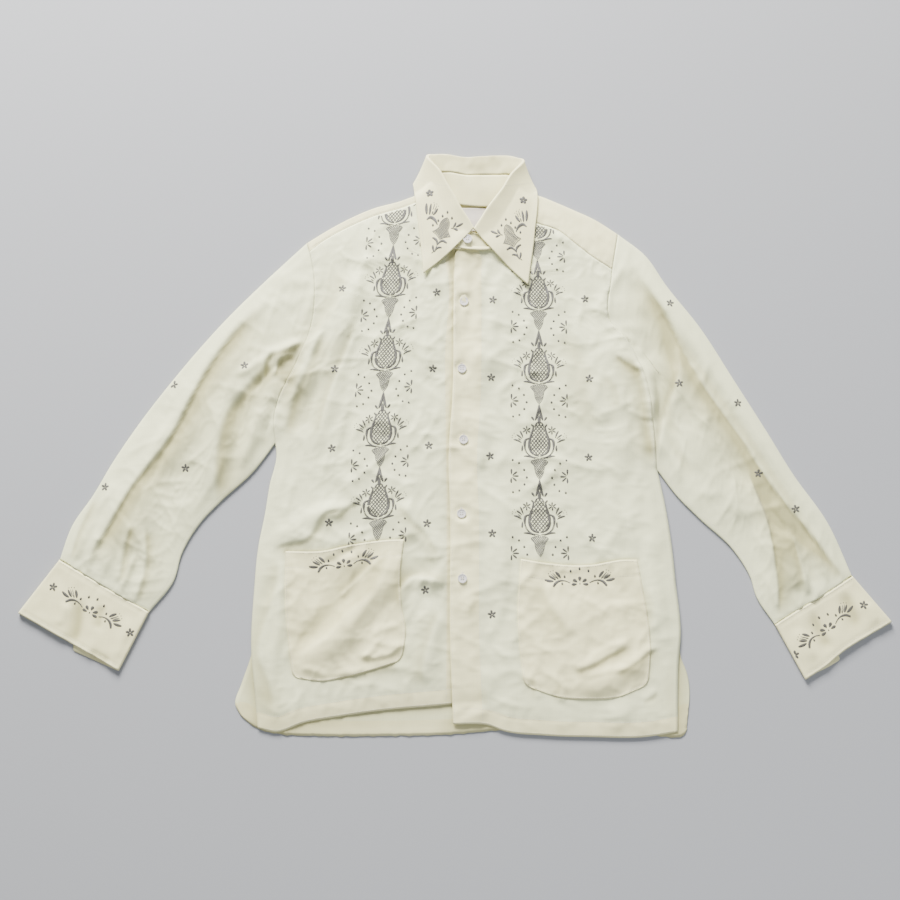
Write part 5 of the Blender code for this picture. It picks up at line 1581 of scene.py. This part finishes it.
# The collar's spray on the wearer's right point, from the middle of its bell flower, X right and Y up
COLLAR_STROKES = (
    (-21.6, 20.2, -22.0, 37.6, -0.5, 1.15, 0.5),
    (-17.9, 19.3, -15.6, 36.7, -0.3, 0.95, 0.5),
    (-13.3, 19.3, -6.4, 29.4, 0.5, 1.0, 0.5),
    (-14.9, 20.2, -13.0, 25.6, 0.0, 0.5, 0.5),
    (17.4, 1.6, 28.0, 6.4, 0.3, 1.05, 0.55),
    (13.8, 1.1, 17.9, 8.7, 0.8, 0.9, 0.5),
    (13.8, -0.7, 20.6, -4.1, -1.2, 1.05, 0.6),
    (-11.5, -34.0, -13.4, -22.9, -0.6, 0.9, 0.6),
    (-15.6, -35.3, -12.4, -32.6, 0.0, 0.35, 0.5),
    (-7.5, -23.4, -11.3, -33.6, 0.2, 0.4, 0.5),
    (11.0, 0.2, 14.6, 0.6, 0.0, 0.5, 0.5),
)
COLLAR_PALE = ((-13.8, 26.6, -10.6, 36.4, 0.3, 0.45, 0.5), (-11.6, 26.0, -8.0, 33.6, 0.3, 0.45, 0.5))
COLLAR_LINES = (
    ((-21.8, 13.2, 0.5), (-17.0, 16.4, 1.4), (-11.0, 12.8, 1.3), (-7.2, 5.4, 0.4)),
    ((-7.5, -23.4, 0.4), (-3.8, -19.4, 0.9), (-0.3, -17.6, 1.2), (5.6, -21.0, 0.7)),
    ((-7.7, -23.2, 0.4), (-7.7, -18.8, 0.9), (-9.2, -15.8, 1.1), (-13.9, -12.6, 0.7)),
    ((-11.4, -33.0, 0.4), (-8.8, -29.0, 0.8), (-6.4, -27.3, 1.0), (-1.6, -27.2, 0.7)),
)
COLLAR_DOTS = (
    (-13.3, 5.0, 1.35), (-6.0, 11.5, 1.35), (-0.2, 17.9, 1.4), (6.7, 22.8, 1.35), (12.7, 14.4, 1.35),
    (-11.9, 37.4, 0.5), (-8.1, 35.2, 0.5), (-5.9, 32.2, 0.5),
)
BELL_TOP = (6.0, 15.6)
BELL_TIP = (-4.1, -15.6)
# Columns: share of the length, half-width
BELL_SHAPE = (
    (0.0, 0.0), (0.07, 3.4), (0.22, 6.4), (0.4, 7.0), (0.52, 6.6), (0.64, 9.4), (0.76, 13.4), (0.81, 9.0),
    (0.88, 4.6), (0.94, 2.4), (1.0, 0.0),
)

# Middles in the laid shirt. Columns: X, Y; a spray's turn in degrees, or the side of a collar's flower
STARS = {
    "front_left": (
        (-152, 196), (-24, 191), (-160, 84), (-29, 85), (-162, -23), (-34, -19), (-164, -121), (-36, -122),
        (-38, -208),
    ),
    "front_right": (
        (52, 180), (177, 182), (49, 73), (180, 71), (47, -33), (177, -35), (49, -135), (179, -141),
        (48, -239),
    ),
    "sleeve_left": ((-376, 64), (-281, 89), (-355, -49), (-460, -74)),
    "sleeve_right": ((292, 176), (299, 64), (377, 38), (401, -56), (447, -103)),
    "cuff_left": ((-520, -204), (-417, -262)),
    "cuff_right": ((528, -227), (436, -290)),
}
SPRAYS = {
    "cuff_left": (-471, -237, -29),
    "cuff_right": (481, -259, 35),
    "pocket_left": (-143, -177, 8.6),
    "pocket_right": (162, -200, 1),
}
COLLAR_FLOWERS = ((-16, 280.5, 1), (77, 270.5, -1))
STAR_HEART = 0.4
FLORET_REACH = 6.0
STAR_REACH = 5.8
STAR_PETAL = 1.2
STROKE_POINTS = 12
STROKE_FULLNESS = 1.3
PETAL_FULLNESS = 1.4
COLLAR_FULLNESS = 1.35
SPRAY_FULLNESS = 1.25


def pointed(table):
    """Strokes from a table: a run bowed by 4 s (1 - s), whose half-width swells as a sine."""
    rows = np.asarray(table, float)
    start, end, bow, half, widest = rows[:, 0:2], rows[:, 2:4], rows[:, 4], rows[:, 5], rows[:, 6]
    s = shares(STROKE_POINTS)
    run = end - start
    side = leftwards(run) / np.linalg.norm(run, axis=1)[:, None]
    bulge = bow[:, None] * 4 * s * (1 - s)
    paths = start[:, None] + run[:, None] * s[None, :, None] - side[:, None] * bulge[..., None]
    turned = s[None, :] ** (math.log(0.5) / np.log(widest))[:, None]
    widths = half[:, None] * np.maximum(np.sin(math.pi * turned), 0) ** 0.5
    return paths, PETAL_FULLNESS * widths


def petals(middle, count, turn, near, far, bow, half, widest):
    """Strokes that point outwards all round a middle, from near it to far from it."""
    rows = []
    for number in range(count):
        angle = math.radians(90 + turn + 360 // count * number)
        way = np.array([math.cos(angle), math.sin(angle)])
        rows.append((*(np.array(middle) + near * way), *(np.array(middle) + far * way), bow, half, widest))
    return pointed(rows)


def drawn(rows):
    """One long stroke through the table's points, with the half-width of each."""
    found = curve([tuple(row) for row in rows], shares(STROKE_POINTS))
    return found[None, :, :2], STROKE_FULLNESS * found[None, :, 2]


def dotted(rows):
    """Round dots: short strokes whose half-width follows the circle sqrt(r² - x²)."""
    rows = np.asarray(rows, float)
    s = np.linspace(-1, 1, STROKE_POINTS + 1)
    paths = np.repeat(rows[:, None, :2], len(s), axis=1)
    paths[..., 0] += rows[:, 2:3] * np.sin(s * math.pi / 2)
    widths = rows[:, 2:3] * np.cos(s * math.pi / 2)
    return paths, STROKE_FULLNESS * np.maximum(widths, 0)


def mirrored(group):
    paths, widths = group
    return np.concatenate([paths, paths * (-1, 1)]), np.concatenate([widths, widths])


def hatched(shape, period, slope, half):
    """Slanted strokes that fill the shape |x| < half-width(y), each cut where it leaves the shape."""
    shape = np.asarray(shape, float)
    levels = np.linspace(shape[0, 0], shape[-1, 0], 90)
    room = np.interp(levels, shape[:, 0], shape[:, 1])
    reach = shape[:, 1].max() + abs(slope) * (levels[-1] - levels[0])
    middle = levels.mean()
    found = []
    for offset in np.arange(-reach, reach, period) + period / 2:
        x = offset + slope * (levels - middle)
        inside = np.abs(x) < room
        turns = np.flatnonzero(np.diff(np.concatenate([[0], inside, [0]])))
        for first, last in zip(turns[::2], turns[1::2]):
            if last - first >= 4:
                found.append(evenly(np.stack([x, levels], -1)[first:last], STROKE_POINTS))
    paths = np.array(found)
    ends = np.minimum(1, 6 * np.minimum(shares(STROKE_POINTS), 1 - shares(STROKE_POINTS)) + 0.35)
    return paths, np.repeat(half * ends[None], len(paths), axis=0)


def outlined(shape, half):
    """The two sides of a shape as long strokes a little inside its edge."""
    shape = np.asarray(shape, float)
    line = evenly(np.stack([shape[:, 1] * 0.97, shape[:, 0]], -1), STROKE_POINTS)
    return mirrored((line[None], np.full((1, len(line)), half)))


def star(x, y, turn):
    """A small flower of five narrow petals."""
    return petals((x, y), 5, turn, STAR_HEART, STAR_REACH, 0.15, STAR_PETAL, 0.55)


def pineapple(dots):
    """One repeat as its two lots of strokes, dark and pale."""
    dark = [
        mirrored(pointed(PINEAPPLE_STROKES)),
        mirrored(petals(FLORET_MIDDLE, 6, 0, STAR_HEART, FLORET_REACH, 0.2, 0.8, 0.6)),
        *(mirrored(drawn(rows)) for rows in PINEAPPLE_LINES),
        mirrored(dotted(PINEAPPLE_DOTS[:dots])),
        pointed([(0.0, 15.5, 0.0, 27.0, 0.0, 1.8, 0.6)]),
        *(hatched(LATTICE_SHAPE, LATTICE_PERIOD, slope, LATTICE_HALF_WIDTH)
          for slope in (LATTICE_SLOPE, -LATTICE_SLOPE)),
    ]
    pale = [
        *(hatched(PENDANT_SHAPE, PENDANT_PERIOD, slope, PENDANT_HALF_WIDTH)
          for slope in (PENDANT_SLOPE, -PENDANT_SLOPE)),
        outlined(PENDANT_SHAPE, 0.5),
    ]
    return joined(dark), joined(pale)


def joined(groups):
    return np.concatenate([g[0] for g in groups]), np.concatenate([g[1] for g in groups])


def along_band(group, rows, number, tilt):
    """Bends a repeat onto the band's middle line: Y runs along the line, X across it, raised by the tilt."""
    paths, widths = group
    place = number + 1 + (paths[..., 1] - REPEAT_START) / REPEAT_LENGTH
    line = curve(rows, shares(120), by="row")
    steps = shares(120) * (len(rows) - 1)
    middle = np.stack([np.interp(place, steps, line[:, 0]), np.interp(place, steps, line[:, 1])], -1)
    run = np.gradient(line, axis=0)
    run /= np.linalg.norm(run, axis=1)[:, None]
    across = np.stack([np.interp(place, steps, -run[:, 1]), np.interp(place, steps, run[:, 0]) + tilt], -1)
    return middle + across * paths[..., :1], widths


def below_seam(group, fold):
    """Keeps what lies below the yoke's front seam: a stroke that crosses it is cut there."""
    seam = np.asarray(fold, float)
    kept_paths, kept_widths = [], []
    for path, width in zip(*group):
        inside = path[:, 1] < np.interp(path[:, 0], seam[:, 0], seam[:, 2]) - 1.6
        if inside.all():
            kept_paths.append(path)
            kept_widths.append(width)
        elif inside.sum() > 3:
            both = evenly(np.column_stack([path, width])[inside], STROKE_POINTS)
            kept_paths.append(both[:, :2])
            kept_widths.append(both[:, 2])
    return np.array(kept_paths), np.array(kept_widths)


def placed(group, x, y, turn, side=1):
    """The group mirrored where side is -1, turned by an angle in degrees and moved to its place."""
    paths, widths = group
    c, s = math.cos(math.radians(turn)), math.sin(math.radians(turn))
    u, v = paths[..., 0] * side, paths[..., 1]
    return np.stack([x + c * u - s * v, y + s * u + c * v], -1), widths


def spray():
    """The cuffs' and pockets' motif: a half flower, a vine and a tulip on either side, and an arc of dots."""
    dark = [
        mirrored(pointed(SPRAY_STROKES)),
        mirrored(drawn(SPRAY_VINE)),
        mirrored(dotted(SPRAY_DOTS)),
        dotted([(0.0, 19.3, 1.35), (0.0, 0.0, 0.8)]),
        pointed([(0.0, 3.4, 0.0, 9.6, 0.0, 1.35, 0.62)]),
    ]
    return thicker(joined(dark), SPRAY_FULLNESS), mirrored(pointed(SPRAY_PALE))


def collar_flower():
    """The collar point's motif: a star, a tulip on a stem, a pale bell flower, two sprigs and five dots."""
    top, tip = np.array(BELL_TOP), np.array(BELL_TIP)
    length = np.linalg.norm(tip - top)
    shape = [(share * length, half) for share, half in BELL_SHAPE]
    turn = math.degrees(math.atan2((tip - top)[1], (tip - top)[0])) + 90
    fill = joined([hatched(shape, 1.9, -0.6, 0.66), outlined(shape, 0.5)])
    fill = placed((fill[0] * (1, -1), fill[1]), *BELL_TOP, turn)
    dark = [pointed(COLLAR_STROKES), dotted(COLLAR_DOTS), star(-17.9, 51.4, 8)]
    dark += [drawn(rows) for rows in COLLAR_LINES]
    return thicker(joined(dark), COLLAR_FULLNESS), joined([fill, pointed(COLLAR_PALE)])


def thicker(group, times):
    return group[0], times * group[1]


def ribbons(name, groups, targets, finish, rise, across=5, seed=0):
    """Raised strokes laid on the targets: each section is the half ellipse rise sqrt(1 - a²), 2 w a wide."""
    paths, widths = joined(groups)
    draw = np.random.default_rng(seed)
    paths = paths + draw.normal(0, 0.07, (len(paths), 1, 2))
    run = np.gradient(paths, axis=1)
    run /= np.maximum(np.linalg.norm(run, axis=2, keepdims=True), 1e-6)
    a = np.linspace(-1, 1, across)
    plan = paths[:, :, None] + leftwards(run)[:, :, None] * (widths[..., None] * a)[..., None]
    below = drape(plan[..., 0], plan[..., 1], targets)
    found = (below >= 0).all(axis=(1, 2))
    plan, below, widths, paths = plan[found], below[found], widths[found], paths[found]
    height = np.minimum(rise, 0.9 * widths)[..., None] * np.sqrt(1 - a**2)
    points = with_height(plan, below + height - STROKE_SINK)
    count = points.shape[1] * across
    faces = grid_faces(points.shape[1], across)[:, ::-1]
    faces = (faces[None] + np.arange(len(points))[:, None, None] * count).reshape(-1, 4)
    steps = np.linalg.norm(np.diff(paths, axis=1), axis=2)
    along = np.concatenate([np.zeros((len(paths), 1)), np.cumsum(steps, axis=1)], axis=1)
    uv = np.stack(np.broadcast_arrays(along[..., None], widths[..., None] * a), -1)
    piece = mesh_object(name, points, faces, finish, uv)
    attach(piece, "root")


class SHIRT_OT_embroidery(bpy.types.Operator):
    """Embroider the pineapple bands, the stars, and the sprays of the collar, cuffs and pockets"""

    bl_idname = "shirt.embroider"
    bl_label = "Embroidery"

    def execute(self, context):
        """Gathers each cloth's strokes, dark and pale, and lays them on that cloth."""
        thread = settings()[1]
        finishes = (
            ("dark", thread_material("embroidery thread", thread.embroidery_colour, 0.9, 0.5)),
            ("pale", thread_material("pale embroidery thread", thread.seed_colour, 0.9, 0.55)),
        )
        kinds = ("front", "sleeve", "cuff", "pocket")
        names = [f"{kind}_{at.name}" for kind in kinds for at in SIDES]
        work = {name: ([], []) for name in (*names, "collar")}

        def sew(name, lots):
            for heap, group in zip(work[name], lots):
                heap.append(group)

        full, short = pineapple(len(PINEAPPLE_DOTS)), pineapple(DOTS_BEFORE_POCKET)
        for at in SIDES:
            repeats = len(at.band) - 2
            for number in range(repeats):
                lots = short if number == repeats - 1 else full
                lots = [along_band(group, at.band, number, at.tilt) for group in lots]
                sew(f"front_{at.name}", [below_seam(g, at.fold) for g in lots] if number < 2 else lots)
        for name, places in STARS.items():
            for number, (x, y) in enumerate(places):
                sew(name, [star(x, y, 17 * number % 23 - 9)])
        for name, place in SPRAYS.items():
            sew(name, [placed(group, *place) for group in spray()])
        for x, y, side in COLLAR_FLOWERS:
            sew("collar", [placed(group, x, y, 0, side) for group in collar_flower()])
        for seed, (name, lots) in enumerate(work.items()):
            for (key, finish), groups in zip(finishes, lots):
                if groups:
                    ribbons(
                        f"embroidery_{name}_{key}", groups, cloths(name), finish,
                        thread.rise / MM, seed=seed,
                    )
        return {"FINISHED"}


def stitch_row(line):
    """Single stitches along a line, each a short straight stroke with rounded ends, a pitch apart."""
    thread = settings()[1]
    line = np.asarray(line, float)
    run = run_along(line)
    first = np.arange(0.4, run[-1] - thread.stitch / MM, thread.pitch / MM)
    at = first[:, None] + thread.stitch / MM * np.array([0, 0.15, 0.5, 0.85, 1.0])
    paths = np.stack([np.interp(at, run, line[:, 0]), np.interp(at, run, line[:, 1])], -1)
    return paths, np.broadcast_to(STITCH_HALF_WIDTH * np.array([0.15, 0.8, 1.0, 0.8, 0.15]), at.shape)


def stitched_lines():
    """Every line of topstitching, by the piece that it is sewn through."""
    neck = curve(NECK, shares(160), by="row")
    collar_edge, collar_seam = neck[:, 9:11], neck[:, 3:5]
    towards = unit(neck[:, 6:8] - collar_edge)
    to_collar = unit(collar_seam - neck[:, 0:2])
    found = {
        "collar": [collar_edge[6:-6] + COLLAR_STITCH_INSET * towards[6:-6]],
        "stand": [neck[:, 0:2] + 2.0 * to_collar, collar_seam - 2.5 * to_collar],
    }
    for at in SIDES:
        edge, hem = front_edge(at, 120, 240), smooth(at.hem, 60)[2:-2]
        found[f"front_{at.name}"] = [
            edge + (BAND_WIDTH * at.way, 0.0),
            edge + (2.5 * at.way, 0.0),
            hem + (0.0, HEM_WIDTH),
            hem + (0.0, 2.5),
            yoke_seam(at, 40)[2:-2] - (0.0, 2.5),
            smooth(at.armhole, 80)[4:-2] - (3.0 * at.way, 0.0),
        ]
    for at in SIDES:
        seam = smooth(at.underarm_to_cuff, 80)[4:-2]
        found[f"sleeve_{at.name}"] = [offset_inwards(seam, at.way * UNDERARM_STITCH_INSET)]
    found["yoke"] = [yoke_seam(at, 40)[2:-2] + (0.0, 2.5) for at in SIDES]
    for at in SIDES:
        top, bottom = smooth(at.cuff_seam, 40), smooth(at.cuff_hem, 40)
        down = unit(bottom - top)
        cuff = (top + 2.0 * down, bottom - 5.0 * down, bottom - 1.5 * down)
        found[f"cuff_{at.name}"] = [line[1:-1] for line in cuff]
    for at in SIDES:
        top = smooth(at.pocket[0], 60)[1:-1]
        found[f"pocket_{at.name}"] = [
            pocket_outline(at.pocket, 2.0), top - (0.0, POCKET_HEM_WIDTH), top - (0.0, 2.0),
        ]
    return found


class SHIRT_OT_stitches(bpy.types.Operator):
    """Sew the topstitching, the buttonholes and the threads of the buttons"""

    bl_idname = "shirt.sew"
    bl_label = "Stitches"

    def execute(self, context):
        """Every stitch is a short raised stroke that lies on its piece of cloth."""
        finish = thread_material("sewing thread", settings()[1].sewing_colour, 2.5, 0.6)

        def sew(name, groups, targets, across=5):
            ribbons(name, groups, targets, finish, STITCH_RISE, across)

        for name, lines in stitched_lines().items():
            sew(f"stitches_{name}", [stitch_row(line) for line in lines], cloths(name), 3)
        holes = []
        for x, y in BUTTONS[1:]:
            low, high = y - BUTTONHOLE / 2, y + BUTTONHOLE / 2
            holes += [(x + side * 0.9, low, x + side * 0.9, high, 0, 0.75, 0.5) for side in (-1, 1)]
            holes += [(x - 1.7, level, x + 1.7, level, 0, 0.55, 0.5) for level in (low, high)]
        sew("buttonholes", [pointed(holes)], cloths("front_right"))
        crosses = []
        for number, (x, y) in enumerate(BUTTONS):
            for quarter in (0, 1):
                angle = math.radians(20 + 37 * number % 60) + quarter * math.pi / 2
                dx, dy = (BUTTON_HOLE_SPACING / 2 * part for part in (math.cos(angle), math.sin(angle)))
                crosses.append((x - dx, y - dy, x + dx, y + dy, 0, 0.4, 0.5))
        shells = [node for name, node in NODES.items() if name.startswith("button_")]
        sew("button_threads", [pointed(crosses)], shells)
        return {"FINISHED"}


class SHIRT_OT_buttons(bpy.types.Operator):
    """Give the six buttons their pearly finish"""

    bl_idname = "shirt.finish_buttons"
    bl_label = "Buttons"

    def execute(self, context):
        """The buttons' own solids are kept, and only their material changes, to a clouded white."""
        shine = {"Roughness": 0.28, "Coat Weight": 0.25}
        finish = speckled_material("button shell", 240.0, 3.0, (0.6, 0.58, 0.59), (0.77, 0.745, 0.71), shine)
        for name, node in NODES.items():
            if name.startswith("button_"):
                node.data.materials.clear()
                node.data.materials.append(finish)
        return {"FINISHED"}


class SHIRT_OT_stage(bpy.types.Operator):
    """Lay a plain pale floor and set soft studio light and the camera"""

    bl_idname = "shirt.set_stage"
    bl_label = "Stage"

    def execute(self, context):
        """The camera stands over the hem's side and looks down at the shirt's middle."""
        stage = settings()[2]
        scene = context.scene
        colour = np.array(stage.floor_colour)
        mesh = bpy.data.meshes.new("floor")
        mesh.from_pydata([(-4, -4, 0), (4, -4, 0), (4, 4, 0), (-4, 4, 0)], [], [(0, 1, 2, 3)])
        mesh.materials.append(speckled_material(
            "floor", 700.0, 2.0, colour * 0.96, np.minimum(colour * 1.04, 1),
            {"Roughness": 0.9, "Specular IOR Level": 0.2},
        ))
        floor = bpy.data.objects.new("floor", mesh)
        floor.location.z = -0.0004
        scene.collection.objects.link(floor)

        aim = Vector(CAMERA_LOOKS_AT) + Vector((*ORIGIN_SHIFT, 0)) * MM
        away = Vector((0, -math.cos(stage.elevation), math.sin(stage.elevation)))
        lens = bpy.data.cameras.new("camera")
        lens.lens = lens.sensor_width = 36
        lens.clip_start = 0.05
        camera = bpy.data.objects.new("camera", lens)
        camera.location = aim + away * stage.distance
        camera.rotation_euler = (-away).to_track_quat("-Z", "Y").to_euler()
        scene.collection.objects.link(camera)
        scene.camera = camera

        for name, place, size, power, colour in (
            ("key light", (-0.8, 2.9, 1.45), (1.7, 1.2), stage.key_power, (1.0, 0.975, 0.94)),
            ("fill light", (0.9, -1.2, 1.6), (1.6, 1.4), stage.fill_power, (0.93, 0.96, 1.0)),
        ):
            lamp = bpy.data.lights.new(name, "AREA")
            lamp.shape = "RECTANGLE"
            lamp.size, lamp.size_y = size
            lamp.energy = power
            lamp.color = colour
            light = bpy.data.objects.new(name, lamp)
            light.location = place
            light.rotation_euler = (-Vector(place)).to_track_quat("-Z", "Y").to_euler()
            scene.collection.objects.link(light)
        world = bpy.data.worlds.new("studio")
        world.use_nodes = True
        sky = world.node_tree.nodes["Background"].inputs
        sky["Color"].default_value = (0.96, 0.98, 1.0, 1)
        sky["Strength"].default_value = stage.sky
        scene.world = world
        return {"FINISHED"}


OPERATORS = (
    SHIRT_OT_back,
    SHIRT_OT_yoke,
    SHIRT_OT_fronts,
    SHIRT_OT_sleeves,
    SHIRT_OT_cuffs,
    SHIRT_OT_stand,
    SHIRT_OT_collar,
    SHIRT_OT_pockets,
    SHIRT_OT_label,
    SHIRT_OT_buttons,
    SHIRT_OT_embroidery,
    SHIRT_OT_stitches,
    SHIRT_OT_stage,
)


class SHIRT_PT_panel(bpy.types.Panel):
    """The shirt's settings and one button for each of its operators"""

    bl_label = "Embroidered shirt"
    bl_idname = "SHIRT_PT_panel"
    bl_space_type = "VIEW_3D"
    bl_region_type = "UI"
    bl_category = "Shirt"

    def draw(self, context):
        """List every setting, then every operator in its order."""
        for group in settings():
            box = self.layout.box()
            for name in group.bl_rna.properties.keys():
                if name not in ("rna_type", "name"):
                    box.prop(group, name)
        for operator in OPERATORS:
            self.layout.operator(operator.bl_idname)


CLASSES = (ShirtCloth, ShirtThread, ShirtStage, *OPERATORS, SHIRT_PT_panel)


def register():
    for item in CLASSES:
        bpy.utils.register_class(item)
    bpy.types.Scene.shirt_cloth = PointerProperty(type=ShirtCloth)
    bpy.types.Scene.shirt_thread = PointerProperty(type=ShirtThread)
    bpy.types.Scene.shirt_stage = PointerProperty(type=ShirtStage)


def unregister():
    del bpy.types.Scene.shirt_stage
    del bpy.types.Scene.shirt_thread
    del bpy.types.Scene.shirt_cloth
    for item in reversed(CLASSES):
        bpy.utils.unregister_class(item)


def main():
    register()
    for operator in OPERATORS:
        group, name = operator.bl_idname.split(".")
        if getattr(getattr(bpy.ops, group), name)() != {"FINISHED"}:
            raise RuntimeError(f"{operator.bl_label} did not finish")


if __name__ == "__main__":
    main()
